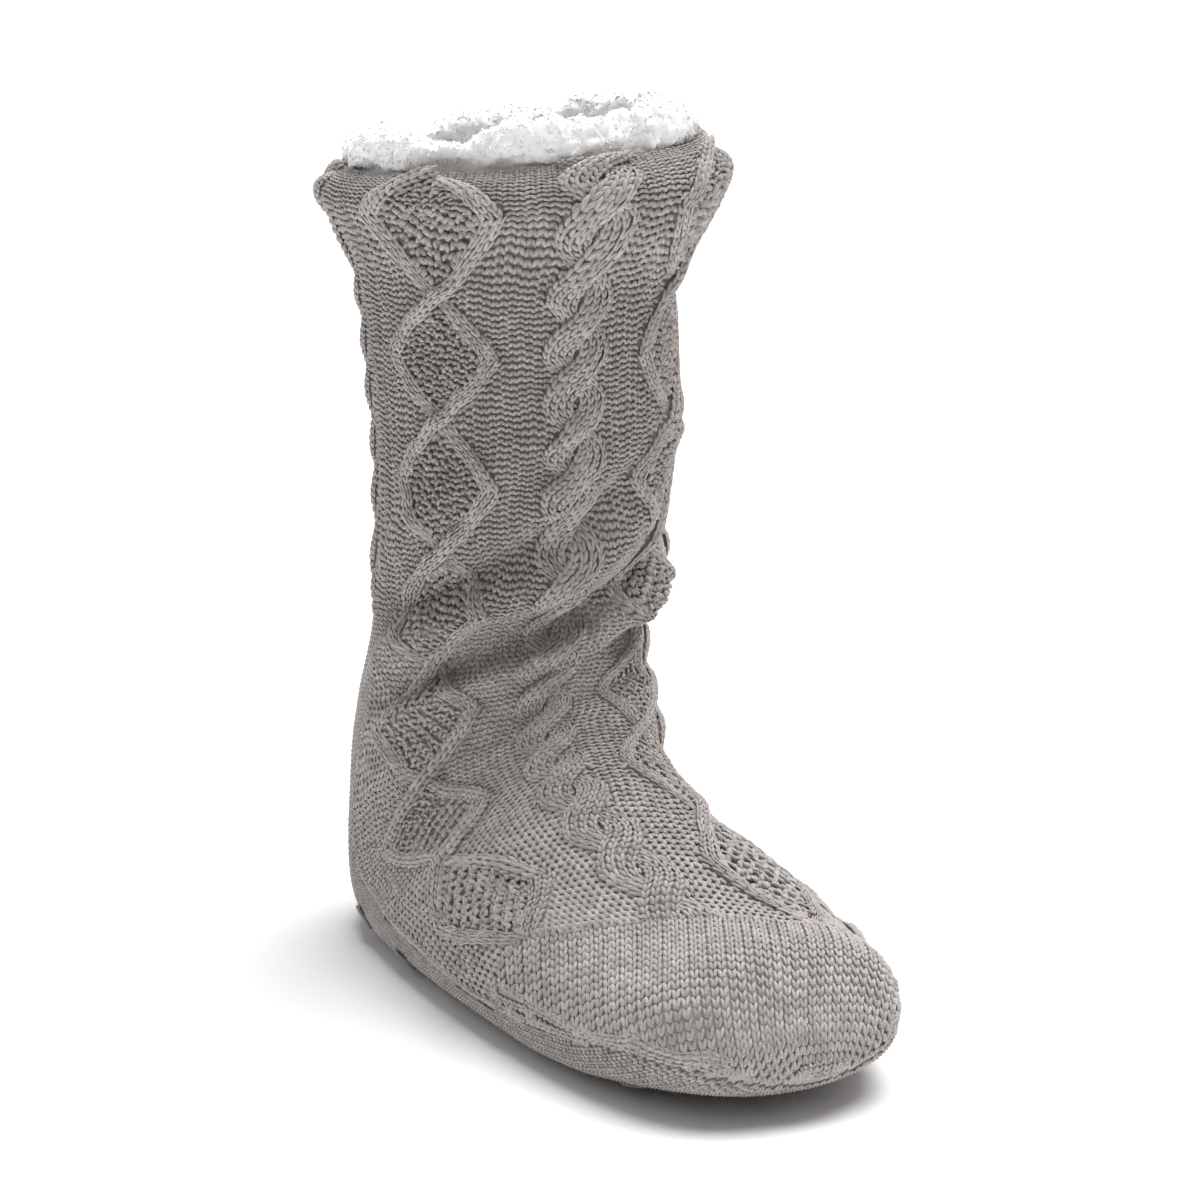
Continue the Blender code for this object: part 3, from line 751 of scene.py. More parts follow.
def open_tree(name, inputs, result):
    """A new geometry tree with named inputs and one output, and the sockets that its inputs give."""
    tree = bpy.data.node_groups.new(name, "GeometryNodeTree")
    for label, kind in inputs.items():
        tree.interface.new_socket(label, in_out="INPUT", socket_type="NodeSocket" + kind)
    tree.interface.new_socket(result, in_out="OUTPUT", socket_type="NodeSocketGeometry")
    return tree, add_node(tree, "NodeGroupInput").outputs


def lean_by_chance(tree, rotation, low, high, seed):
    """A rotation with a random lean added, between a low and a high one."""
    lean = add_node(
        tree, "FunctionNodeRandomValue", {"data_type": "FLOAT_VECTOR"},
        links={0: low, 1: high, "Seed": seed},
    )
    lean_turn = add_node(tree, "FunctionNodeEulerToRotation", links={"Euler": lean.outputs[0]})
    turned = add_node(
        tree, "FunctionNodeRotateRotation", {"rotation_space": "LOCAL"},
        links={"Rotation": rotation, "Rotate By": lean_turn.outputs[0]},
    )
    return turned.outputs[0]


def copy_and_close(tree, placed, shade, material, result):
    """Copy a shape onto points, give each copy its shade, and end the tree with real meshes."""
    shape = add_node(tree, "GeometryNodeObjectInfo", links={"Object": placed.pop("Shape")})
    copies = add_node(
        tree, "GeometryNodeInstanceOnPoints", links={**placed, "Instance": shape.outputs["Geometry"]}
    )
    shaded = add_node(
        tree, "GeometryNodeStoreNamedAttribute", {"data_type": "FLOAT", "domain": "INSTANCE"},
        {"Name": "shade"}, {"Geometry": copies.outputs[0], "Value": shade},
    )
    real = add_node(tree, "GeometryNodeRealizeInstances", links={"Geometry": shaded.outputs[0]})
    finished = add_node(
        tree, "GeometryNodeSetMaterial", links={"Geometry": real.outputs[0], "Material": material}
    )
    add_node(tree, "NodeGroupOutput", links={result: finished.outputs[0]})


def stitch_tree():
    """Points with a turn and a size become stitches, each with its own shade."""
    tree, given = open_tree("set_stitches", {
        "Points": "Geometry",
        "Stitch": "Object",
        "Material": "Material",
        "Unevenness": "Float",
        "Seed": "Int",
    }, "Stitches")
    turn = add_node(tree, "GeometryNodeInputNamedAttribute", {"data_type": "QUATERNION"}, {"Name": "turn"})
    size = add_node(tree, "GeometryNodeInputNamedAttribute", {"data_type": "FLOAT_VECTOR"}, {"Name": "size"})
    less = add_node(
        tree, "ShaderNodeMath", {"operation": "MULTIPLY"}, {1: -1.0}, {0: given["Unevenness"]}
    )
    turned = lean_by_chance(tree, turn.outputs[0], less.outputs[0], given["Unevenness"], given["Seed"])
    shade = add_node(
        tree, "FunctionNodeRandomValue", {"data_type": "FLOAT"}, links={"Seed": given["Seed"]}
    )
    placed = {
        "Points": given["Points"],
        "Shape": given["Stitch"],
        "Rotation": turned,
        "Scale": size.outputs[0],
    }
    copy_and_close(tree, placed, shade.outputs[1], given["Material"], "Stitches")
    return tree


STITCH_TREE = stitch_tree()
print("Nodes in the stitch tree:", len(STITCH_TREE.nodes))

# %% [markdown]
# The turn and the size of each stitch are attributes of its point. The tree runs once as a modifier, and its
# result is kept as a plain mesh, so a piece doesn't depend on the tree later.

# %% Turning a cloud of points into stitches


def set_inputs(modifier, values):
    """Set a node modifier's inputs by their sockets' identifiers."""
    for item in modifier.node_group.interface.items_tree:
        if item.item_type == "SOCKET" and item.in_out == "INPUT" and item.name in values:
            modifier[item.identifier] = values[item.name]


def apply_tree(thing, tree, values):
    """Run a node tree on an object and keep the result as its plain mesh."""
    modifier = thing.modifiers.new("nodes", "NODES")
    modifier.node_group = tree
    set_inputs(modifier, values)
    depsgraph = bpy.context.evaluated_depsgraph_get()
    result = bpy.data.meshes.new_from_object(thing.evaluated_get(depsgraph), depsgraph=depsgraph)
    thing.modifiers.clear()
    thing.data = result
    result.name = thing.name
    return thing


def stitches(name, shape, places, down, side, sizes, seed, unevenness=0.10, material=YARN):
    """Stitches at places, each lying along the wale (down) and across it (side)."""
    y = unit(-down)
    z = unit(np.cross(down, side))
    x = unit(np.cross(y, z))
    turns = [Matrix(rows).transposed().to_quaternion() for rows in np.stack([x, y, z], axis=1).tolist()]
    data = bpy.data.meshes.new(name)
    data.from_pydata(places.tolist(), [], [])
    turn = data.attributes.new("turn", "QUATERNION", "POINT")
    turn.data.foreach_set("value", np.array([tuple(q) for q in turns], dtype=np.float32).ravel())
    size = data.attributes.new("size", "FLOAT_VECTOR", "POINT")
    size.data.foreach_set("vector", sizes.astype(np.float32).ravel())
    thing = new_piece(name, data)
    apply_tree(thing, STITCH_TREE, {
        "Stitch": shape,
        "Material": material,
        "Unevenness": unevenness,
        "Seed": seed,
    })
    thing.data.calc_loop_triangles()
    print(name, "stitches:", len(places), "triangles:", len(thing.data.loop_triangles))
    return thing


def sized(down, side, thickness=1.0):
    """Width, length and thickness of stitches from their steps across and along."""
    width = np.linalg.norm(side, axis=-1)
    length = np.linalg.norm(down, axis=-1)
    return np.stack([width, length, thickness * np.sqrt(width * length)], axis=-1)


one = sized(np.array([0.0, -0.0020, 0.0]), np.array([0.0026, 0.0, 0.0]))
print("A stitch 2.6 mm wide and 2 mm long is this thick, mm:", round(1000 * float(one[2]), 2))

# %% [markdown]
# ## Strand stitches
# The strands are stocking stitch: three wales on a diamond's strand and four on a cable's. Their stitches
# run along the strand, so they lean with it, as on the real sock.

# %% Knit the strands
COURSE = 1.0 / COURSES_PER_ROW
STRAND_THICKNESS = 0.65
LANE_SHARE = 0.9


def strand_surface(column, side, row, across):
    """Points of a strand on a row, at a place across it from -1 to 1."""
    angle, width, height = strand_path(column, side, row)
    lift = height * over_the_strand(across * LANE_SHARE) + CAP_STEP * cap_share(row)
    return layer(row_station(row, angle + across * width), angle + across * width, lift)


def strand_stitches(last_row):
    """Places and steps of all stitches on the strands of the columns that end at a row."""
    found = []
    for column in COLUMNS:
        if column[5] != last_row:
            continue
        lanes = 3 if column[0] == "diamond" else 4
        first = 0 if column[0] == "diamond" else FIRST_ROW * COURSES_PER_ROW
        rows = (np.arange(first, last_row * COURSES_PER_ROW) + 0.5) * COURSE
        for side in (1, -1):
            for lane in range(lanes):
                across = (lane + 0.5) / lanes * 2 - 1
                reach = 1.0 / lanes * LANE_SHARE
                here = strand_surface(column, side, rows, across)
                down = strand_surface(column, side, rows + COURSE / 2, across)
                down = down - strand_surface(column, side, rows - COURSE / 2, across)
                over = strand_surface(column, side, rows, across + reach)
                over = over - strand_surface(column, side, rows, across - reach)
                found.append((here, down, over))
    return [np.concatenate([item[k] for item in found]) for k in range(3)]


places, down, over = strand_stitches(CAP_ROW)
sizes = sized(down, over, STRAND_THICKNESS)
front_strands = stitches("front_strands", KNIT, places, down, over, sizes, 11)
places, down, over = strand_stitches(HEEL_ROW)
sizes = sized(down, over, STRAND_THICKNESS)
back_strands = stitches("back_strands", FINE_KNIT, places, down, over, sizes, 12)

# %% [markdown]
# ## Purl ground and moss stitch
# Between the columns the knitting shows its wrong side: rows of purl bumps, about 2.5 mm wide and 2 mm
# high. Inside a diamond, knit and purl change places at every stitch, which is moss stitch and looks
# pebbled. Every cell of the pattern that no strand covers gets a purl stitch, and in a diamond the stitches
# are thicker, lean unevenly and stand higher in every other cell, as on a chequerboard.

# %% Knit the ground
FRONT_WALES = 66
BACK_WALES = 58
CHEQUER_RISE = 0.0007
GROUND_KINDS = [
    # name, thickness of the stitches as a share, unevenness of their lean
    ("purl", 1.0, 0.16),
    ("moss", 1.5, 0.5),
]
INSTEP_RELIEF = 0.55
INSTEP_SPREAD = 1.14


def even_angles(row, start, end, count):
    """Angles of evenly spaced wales on a row between two limits, by length along the row."""
    fine = np.linspace(start, end, 181)
    line = layer(row_station(row, fine), fine, 0.0)
    run = run_along(line)
    wanted = (np.arange(-1, count + 1) + 0.5) / count * run[-1]
    return np.interp(wanted, run, fine)


def ground_cells(first, last, back):
    """Angle of every cell of the ground for the courses given, with one spare wale on each side."""
    courses = np.arange(first, last)
    table = []
    for course in courses:
        row = (course + 0.5) * COURSE
        start, end = limits(row, back)
        table.append(even_angles(row, start, end, BACK_WALES if back else FRONT_WALES))
    return (courses + 0.5)[:, None] * COURSE, np.array(table)


def ground_stitches(first, last, back):
    """Places, steps and kinds of the ground's stitches that no strand covers."""
    rows, angles = ground_cells(first, last, back)
    rows = np.broadcast_to(rows, angles.shape)
    covered, inside = pattern_height(rows, angles)[1:]
    here = knit_surface(rows, angles)
    down = (knit_surface(rows + COURSE / 2, angles) - knit_surface(rows - COURSE / 2, angles))[:, 1:-1]
    over = (here[:, 2:] - here[:, :-2]) / 2
    course = np.arange(first, last)[:, None]
    wale = np.arange(angles.shape[1])[None, :]
    checked = (course + wale) % 2 == 0
    use = ~covered[:, 1:-1]
    purl = use & ~inside[:, 1:-1]
    moss = use & inside[:, 1:-1]
    raised = np.where(inside & checked, CHEQUER_RISE, 0.0)[:, 1:-1, None]
    places = here[:, 1:-1] + unit(np.cross(down, over)) * raised
    return places, down, over, {"purl": purl, "moss": moss}


def knit_ground(name, first, last, back, seed, relief=1.0, spread=1.0):
    """The purl and the moss stitches of one part of the ground, with shares for their relief and width."""
    here, down, over, masks = ground_stitches(first, last, back)
    shape = FINE_PURL if back else PURL
    made = []
    for kind, thickness, uneven in GROUND_KINDS:
        mask = masks[kind]
        size = sized(down[mask], over[mask], thickness * relief) * [spread, spread, 1.0]
        label = name + "_" + kind
        made.append(stitches(label, shape, here[mask], down[mask], over[mask], size, seed, uneven))
    return made


FIRST_COURSE = FIRST_ROW * COURSES_PER_ROW
HEEL_COURSE = HEEL_ROW * COURSES_PER_ROW
CAP_FIRST_COURSE = CAP_ROW * COURSES_PER_ROW
ground_pieces = knit_ground("leg_front", FIRST_COURSE, HEEL_COURSE, False, 21)
ground_pieces += knit_ground(
    "instep", HEEL_COURSE, CAP_FIRST_COURSE, False, 22, INSTEP_RELIEF, INSTEP_SPREAD
)
ground_pieces += knit_ground("leg_back", FIRST_COURSE, HEEL_COURSE, True, 23)

# %% [markdown]
# ## Plain knitting: toe cap, sole and heel
# The toe cap, the sole and the heel are stocking stitch. Their wales run parallel to the foot and end at
# the seam, so on the sole they are laid out by distance from a middle line and cut off where the seam
# passes.

# %% Laying out plain knitting
WALE = 0.0026
PLAIN_COURSE = 0.0020
SOLE_MIDDLE = 180.0
SOLE_REACH = 112.0
SOLE_WALES = 46


def course_stations(start, end):
    """Stations of courses evenly spaced along the sole's middle line."""
    fine = np.linspace(start, end, 1200)
    run = run_along(skin(fine, SOLE_MIDDLE))
    return np.interp(np.arange(0, run[-1], PLAIN_COURSE), run, fine)


def parallel_wales(stations):
    """Angles of wales at even distances from the sole's middle line on each course."""
    line_angles = np.linspace(0, SOLE_REACH, 160)
    wanted = (np.arange(SOLE_WALES) + 0.5) * WALE
    table = []
    for station in stations:
        row = []
        for side in (-1, 1):
            run = run_along(skin(station, SOLE_MIDDLE + side * line_angles))
            angles = np.interp(wanted, run, line_angles, right=SOLE_REACH + 30)
            row.append(SOLE_MIDDLE + side * angles)
        table.append(np.concatenate([row[0][::-1], row[1]]))
    return np.array(table)


def plain_stitches(stations, angles):
    """Places, steps, stations and angles of stitches on a grid, without its outermost cells."""
    grid = layer(stations[:, None], angles, 0.0)
    down = (grid[2:, 1:-1] - grid[:-2, 1:-1]) / 2
    over = (grid[1:-1, 2:] - grid[1:-1, :-2]) / 2
    at = np.broadcast_to(stations[1:-1, None], down.shape[:2])
    return grid[1:-1, 1:-1], down, over, at, angles[1:-1, 1:-1]


def seam_at(stations):
    """Angles of the right and left seam at stations."""
    return np.interp(stations, SEAM_STATIONS, RIGHT_SEAM), np.interp(stations, SEAM_STATIONS, LEFT_SEAM)


print("Seams at the toe cap, degrees:", [round(float(value)) for value in seam_at(17.0)])

# %% [markdown]
# The wales of the toe cap are turned with the panel: each lies in an upright plane a little off the foot's
# own direction. A wale is walked stitch by stitch from the cap's line until it meets a seam or the tip of
# the toe. Three wales run along each seam, so that the turned wales don't end raggedly there.

# %% The wales of the toe cap
CAP_WALE = 0.00255
CAP_COURSE = 0.0029
CAP_HEADING = math.radians(27)
CAP_COURSES = 45
ACROSS_CAP = np.array([math.cos(CAP_HEADING), -math.sin(CAP_HEADING), 0.0])
SEAM_CLEARANCE = 0.5
SEAM_OVERLAP = 0.7
TOE_STATION = TIP - 0.1
TOE_ROUND = 0.0012
EDGE_WALE_END = 19.6
EDGE_INSETS = (0.0012, 0.0036, 0.0060)
CAP_SIDE = 88.0


def cap_border():
    """Stations and angles along the cap's line and then along the left seam to the toe."""
    right, left = [float(value) for value in seam_angles(CAP_ROW)]
    line_angles = np.linspace(right + SEAM_CLEARANCE, left - SEAM_CLEARANCE, 500)
    line_stations = row_station(CAP_ROW, line_angles)
    side_stations = np.linspace(line_stations[-1], TIP - 0.6, 200)
    side_angles = np.interp(side_stations, SEAM_STATIONS, LEFT_SEAM) - SEAM_CLEARANCE
    return np.concatenate([line_stations, side_stations]), np.concatenate([line_angles, side_angles])


def toe_front(angles):
    """Stitches that run down the small front of the toe, from its upper edge to its lower one."""
    high = layer(TOE_STATION, angles, 0.0)
    low = layer(TOE_STATION, np.where(angles > 0, 180, -180) - angles, 0.0)
    parts = []
    for share in (0.12, 0.37, 0.62, 0.87):
        place = high + (low - high) * share
        place[:, 1] -= TOE_ROUND * math.sin(math.pi * share)
        parts.append(place)
    here = np.concatenate(parts)
    down = np.tile((low - high) / 4, (4, 1))
    return here, down, np.tile([0.0, -1.0, 0.0], (len(here), 1))


def cap_wales():
    """Places, steps and surface directions of the cap's stitches, each wale in its own upright plane."""
    border, border_angles = cap_border()
    reach = skin(border, border_angles) @ ACROSS_CAP
    lanes = np.arange(math.ceil(reach[0] / CAP_WALE), math.floor(reach.max() / CAP_WALE) + 1) * CAP_WALE
    starts = [int(np.argmax(reach >= lane)) for lane in lanes]
    station = border[starts]
    angle = border_angles[starts]
    before = np.tile([0.0, -1.0, -0.2], (len(lanes), 1))
    alive = np.ones(len(lanes), bool)
    found = []
    for _ in range(CAP_COURSES):
        here = skin(station, angle)
        along = (skin(station + 0.01, angle) - here) / 0.01
        round_ = (skin(station, angle + 0.2) - here) / 0.2
        move = along * -(round_ @ ACROSS_CAP)[:, None] + round_ * (along @ ACROSS_CAP)[:, None]
        scale = CAP_COURSE / np.maximum(np.linalg.norm(move, axis=1), 1e-9)
        scale = scale * np.where((move * before).sum(axis=1) < 0, -1.0, 1.0)
        before = move * scale[:, None]
        found.append((layer(station, angle, 0.0)[alive], before[alive], skin_normal(station, angle)[alive]))
        station = np.clip(station - (round_ @ ACROSS_CAP) * scale, 0, TIP - 0.01)
        angle = angle + (along @ ACROSS_CAP) * scale
        right, left = seam_at(station)
        ended = alive & (station > TOE_STATION)
        if ended.any():
            found.append(toe_front(angle[ended]))
        alive = alive & ~ended & (angle > right - SEAM_OVERLAP) & (angle < left + SEAM_OVERLAP)
    return [np.concatenate([part[k] for part in found]) for k in range(3)]


def edge_wale(side, inset):
    """Places, steps and directions of one wale that runs along the cap's seam, at an inset from it."""
    fine = np.linspace(float(row_station(CAP_ROW, side * CAP_SIDE)), EDGE_WALE_END, 600)
    seam = np.interp(fine, SEAM_STATIONS, RIGHT_SEAM if side < 0 else LEFT_SEAM)
    degree = np.linalg.norm(skin(fine, seam + 1) - skin(fine, seam - 1), axis=1) / 2
    angles = seam - side * inset / degree
    line = layer(fine, angles, 0.0)
    run = run_along(line)
    steps = np.arange(0.5 * CAP_COURSE, run[-1], CAP_COURSE)
    at = np.interp(steps, run, fine)
    angle = np.interp(steps, run, angles)
    here = layer(at, angle, 0.0)
    return here, unit(np.gradient(here, axis=0)) * CAP_COURSE, skin_normal(at, angle)


def heading_width(down, normal):
    """Steps across the wales: wider where the surface turns away from the planes that cut the wales."""
    over = unit(np.cross(normal, down))
    lean = np.abs(over @ ACROSS_CAP)
    return over * (CAP_WALE / np.clip(lean, 0.5, 1.0))[:, None]


print("Cap wales across the ball:", round(BALL_WIDTH / CAP_WALE))

# %% Knit the toe cap
CAP_THICKNESS = 0.6
here, down, normal = cap_wales()
down = unit(down) * np.clip(np.linalg.norm(down, axis=1), 0.6 * CAP_COURSE, CAP_COURSE)[:, None]
over = heading_width(down, normal)
edges = [edge_wale(side, inset) for side in (-1, 1) for inset in EDGE_INSETS]
edge_here, edge_down, edge_normal = [np.concatenate([part[k] for part in edges]) for k in range(3)]
here = np.concatenate([here, edge_here])
down = np.concatenate([down, edge_down])
over = np.concatenate([over, unit(np.cross(edge_normal, edge_down)) * CAP_WALE])
sizes = sized(down, over, CAP_THICKNESS)
cap_stitches = stitches("toe_cap_stitches", KNIT, here, down, over, sizes, 31, 0.06)

# %% Knit the sole and the heel
PLAIN_THICKNESS = 0.65
HEEL_START = 5.0
HEEL_END = 10.2
SEAM_GAP = 0.8

sole_stations = course_stations(HEEL_START, TIP - 0.05)
sole_angles = parallel_wales(sole_stations)
here, down, over, at, angle = plain_stitches(sole_stations, sole_angles)
right, left = seam_at(at)
kept = (angle > left + SEAM_GAP) & (angle < right + 360 - SEAM_GAP) & (at > row_station(HEEL_ROW, angle))
sole_pieces = []
for name, part, seed in (("heel_stitches", at < HEEL_END, 32), ("sole_stitches", at >= HEEL_END, 33)):
    part = part & kept
    size = sized(down[part], over[part], PLAIN_THICKNESS)
    size = np.minimum(size, [1.4 * WALE, 1.5 * PLAIN_COURSE, WALE])
    sole_pieces.append(stitches(name, FINE_KNIT, here[part], down[part], over[part], size, seed, 0.08))

# %% [markdown]
# ## The seam
# Where the patterned upper meets the plain sole, the photograph shows a ladder of long slanted stitches
# and then a thin dark line. The line is the gap between the two knits. The ladder is one row of slanted
# stitches that Geometry Nodes set along the seam.

# %% Sew the seam
SEAM_PITCH = 0.0024
LADDER_INSET = 0.0012
LADDER_RISE = 0.0004
LADDER_STITCH = [0.0024, 0.0034, 0.0022]
HEEL_SIDE = 95.0


def seam_line(side):
    """Stations and angles along one seam at even steps, from the heel to the toe."""
    start = float(row_station(HEEL_ROW, side * HEEL_SIDE))
    fine = np.linspace(start, float(row_station(CAP_ROW, side * CAP_SIDE)) + 0.3, 1500)
    angles = np.interp(fine, SEAM_STATIONS, RIGHT_SEAM if side < 0 else LEFT_SEAM)
    line = layer(fine, angles, 0.0)
    run = run_along(line)
    steps = np.arange(0, run[-1], SEAM_PITCH)
    return np.interp(steps, run, fine), np.interp(steps, run, angles)


def ladder(side):
    """Places and steps of the slanted stitches beside one seam."""
    stations, angles = seam_line(side)
    reach = np.linalg.norm(skin(stations, angles + 1) - skin(stations, angles - 1), axis=1) / 2
    inward = -side * LADDER_INSET / reach
    here = layer(stations, angles + inward, LADDER_RISE)
    edge = layer(stations, angles, 0.0)
    along = np.gradient(edge, axis=0)
    across = layer(stations, angles + 2 * inward, 0.0) - edge
    if side > 0:
        across = -across
    return here, along, -across


seam_parts = [ladder(-1), ladder(1)]
here, down, over = [np.concatenate([part[k] for part in seam_parts]) for k in range(3)]
seam_size = np.tile(LADDER_STITCH, (len(here), 1))
seam_stitches = stitches("seam_ladder", SLANT, here, over, down, seam_size, 41, 0.08)

# %% [markdown]
# ## The knitted wall under the stitches
# Loops leave small gaps, and behind them lies more yarn in shadow. A surface just under the stitches follows
# every strand and fold, so no light passes through the wall. Its colour is darker than the loops: painted
# shade for that yarn in shadow, lighter on the foot.

# %% The wall of the upper
WALL_DEPTH = 0.0003
EDGE_ROUND = 0.0006


def grid_mesh(name, grid, material, close_round=False):
    """A mesh from a grid of points, joined along its rows and columns, and round if asked."""
    rows, columns = grid.shape[:2]
    faces = []
    for i in range(rows - 1):
        for j in range(columns if close_round else columns - 1):
            after = (j + 1) % columns
            a = i * columns
            faces.append((a + j, a + columns + j, a + columns + after, a + after))
    return smooth_piece(name, grid.reshape(-1, 3).tolist(), faces, material)


def upper_grid(first, last, back, steps, lines):
    """A grid on the upper between two rows, with the knitted edge turned in at the collar."""
    grid = []
    for row in np.linspace(first, last, steps):
        angles = np.linspace(*limits(row, back), lines)
        grid.append(knit_surface(np.full(lines, row), angles, -WALL_DEPTH))
    grid = np.array(grid)
    if first == FIRST_ROW:
        angles = np.linspace(*limits(first, back), lines)
        turned = [layer(0.0, angles, -depth) for depth in (KNIT_WALL, 0.6 * KNIT_WALL)]
        turned[1] = turned[1] + np.array([0, 0, EDGE_ROUND])
        grid = np.concatenate([np.array(turned), grid])
    return grid


front_grid = upper_grid(FIRST_ROW, HEEL_ROW, back=False, steps=120, lines=170)
back_grid = upper_grid(FIRST_ROW, HEEL_ROW, back=True, steps=120, lines=130)
# The leg's walls carry the darker ground, which is painted shade.
leg_front_wall = grid_mesh("leg_front_wall", front_grid, GROUND_PAINTED_SHADE)
leg_back_wall = grid_mesh("leg_back_wall", back_grid, GROUND_PAINTED_SHADE)


def toe_end(lines, back):
    """Rings that close a wall to one point at the very front of the toe."""
    angles = np.linspace(*limits(LAST_ROW, back), lines)
    ring = layer(row_station(LAST_ROW, angles), angles, -WALL_DEPTH)
    tip = (skin(TIP, 0.0) + skin(TIP, 180.0)) / 2
    return np.array([ring + (tip - ring) * share for share in (0.35, 0.7, 0.999)])


instep_grid = upper_grid(HEEL_ROW, LAST_ROW, back=False, steps=150, lines=170)
instep_grid = np.concatenate([instep_grid, toe_end(170, back=False)])
# The instep's wall carries the lighter ground, painted light for the top of the foot.
instep_wall = grid_mesh("instep_wall", instep_grid, FLAT_GROUND_PAINTED_LIGHT)


def sole_grid(steps, lines):
    """A grid on the sole and heel between the two seams."""
    grid = []
    for row in np.linspace(HEEL_ROW, LAST_ROW, steps):
        angles = np.linspace(*limits(row, back=True), lines)
        grid.append(layer(row_station(row, angles), angles, -WALL_DEPTH))
    return np.concatenate([np.array(grid), toe_end(lines, back=True)])


# The sole's wall carries the same lighter copy of the ground, with its painted light.
sole_wall = grid_mesh("sole_wall", sole_grid(steps=150, lines=90), FLAT_GROUND_PAINTED_LIGHT)
walls = [leg_front_wall, leg_back_wall, instep_wall, sole_wall]
print("Wall faces:", sum(len(wall.data.polygons) for wall in walls))

# %% [markdown]
# ## The fleece
# Sherpa fleece is a knitted backing with crimped pile that clumps into curls. It lines the sock and
# stands over the knitted edge as an uneven roll. The roll is a surface with rounded lumps, and a node tree
# scatters small curls over it, densest on the rim, where they show.

# %% The lining and its rim
RIM_HEIGHT = 0.009
LINING_DEPTH = KNIT_WALL + 0.0003
CLUMP = 0.0075
RIM_LUMPS = 0.0034
EDGE_LUMPS = 0.0008
LINING_LUMPS = 0.0010
PROFILE_RINGS = 60

RIM_PROFILE = [
    # height over the knitted edge as a share of the rim, depth from its outer surface in metres
    (-0.10, 0.0030),
    (0.12, 0.0016),
    (0.45, 0.0002),
    (0.80, 0.0014),
    (0.98, 0.0050),
    (0.90, 0.0090),
    (0.50, 0.0116),
    (0.00, 0.0112),
    (-0.60, 0.0090),
]


def lumps(places):
    """Rounded clumps from cells of noise, larger at their middles."""
    result = []
    for place in places.reshape(-1, 3):
        near = noise.voronoi(Vector(place) / CLUMP)[0][0]
        wide = noise.noise(Vector(place) / (3 * CLUMP))
        fine = noise.noise(Vector(place) / (0.30 * CLUMP))
        result.append(0.55 - near + 1.5 * wide + 0.35 * fine)
    return np.array(result).reshape(places.shape[:-1])


def fleece_grid(lines):
    """Rings from behind the knitted edge, over the rim and down inside to the toe."""
    angles = np.linspace(-92, 268, lines, endpoint=False)
    flat = unit(skin_normal(0.0, angles) * np.array([1, 1, 0]))
    edge = skin(0.0, angles)
    profile = smooth_through(np.array(RIM_PROFILE), np.linspace(0, len(RIM_PROFILE) - 1, PROFILE_RINGS))
    turn = np.radians(angles)
    # The rim is higher in front than behind, and swells and sinks a little on its way round.
    uneven = 1.1 + 0.25 * np.cos(turn) + 0.12 * np.sin(3 * turn + 1) + 0.10 * np.sin(7 * turn)
    rings = []
    for share, depth in profile:
        ring = edge - flat * depth
        ring[:, 2] += share * RIM_HEIGHT * (uneven if share > 0 else 1.0)
        rings.append(ring)
    # Inside, rings follow the rows of the knit to the toe, wider apart where they don't show.
    for row in np.concatenate([np.linspace(0.9, 12, 24), np.linspace(12.7, LAST_ROW - 2.5, 36)]):
        rings.append(layer(row_station(row, angles), angles, -LINING_DEPTH - FLEECE_WALL))
    grid = np.array(rings)
    down = np.gradient(grid, axis=0)
    around = np.roll(grid, -1, axis=1) - np.roll(grid, 1, axis=1)
    normal = unit(np.cross(around, down))
    strength = np.full(len(grid), RIM_LUMPS)
    strength[0] = 0.0
    strength[1:4] = EDGE_LUMPS
    strength[PROFILE_RINGS + 6:] = LINING_LUMPS
    return grid + normal * (lumps(grid) * strength[:, None])[..., None]


fleece = grid_mesh("fleece_backing", fleece_grid(lines=360), FLEECE, close_round=True)
print("Fleece faces:", len(fleece.data.polygons))

# %% [markdown]
# ## Curls of the fleece
# One curl is a short bent coil of crimped pile. The node tree spreads points over the faces near the rim,
# turns each curl to the surface and leans it by chance from a seed.

# %% Scatter the curls
PILE_HEIGHTS = [0.200, 0.235, 0.252]
PILE_SHARES = [0.0, 0.35, 1.0]
LEAST_GROWTH = 0.75
MOST_GROWTH = 1.35


def coil_shape(name, turns, segments, coil, radius, rise):
    """A short tapered coil with three sides. It is only copied by the node tree."""
    verts = []
    faces = []
    for i in range(segments + 1):
        share = i / segments
        angle = 2 * math.pi * turns * share
        centre = Vector((coil * math.cos(angle), coil * math.sin(angle), rise * (share - 0.35)))
        outward = Vector((math.cos(angle), math.sin(angle), 0))
        thick = radius * (0.55 + 0.9 * math.sin(math.pi * min(share * 1.1, 1.0)) ** 0.7) * 0.75
        for k in range(3):
            around = 2 * math.pi * k / 3
            up = Vector((0, 0, thick * math.sin(around)))
            verts.append(centre + outward * thick * math.cos(around) + up)
    for i in range(segments):
        for k in range(3):
            after = (k + 1) % 3
            a = 3 * i
            faces.append((a + k, a + 3 + k, a + 3 + after, a + after))
    faces.append((0, 1, 2))
    faces.append((3 * segments + 2, 3 * segments + 1, 3 * segments))
    return smooth_piece(name, verts, faces)


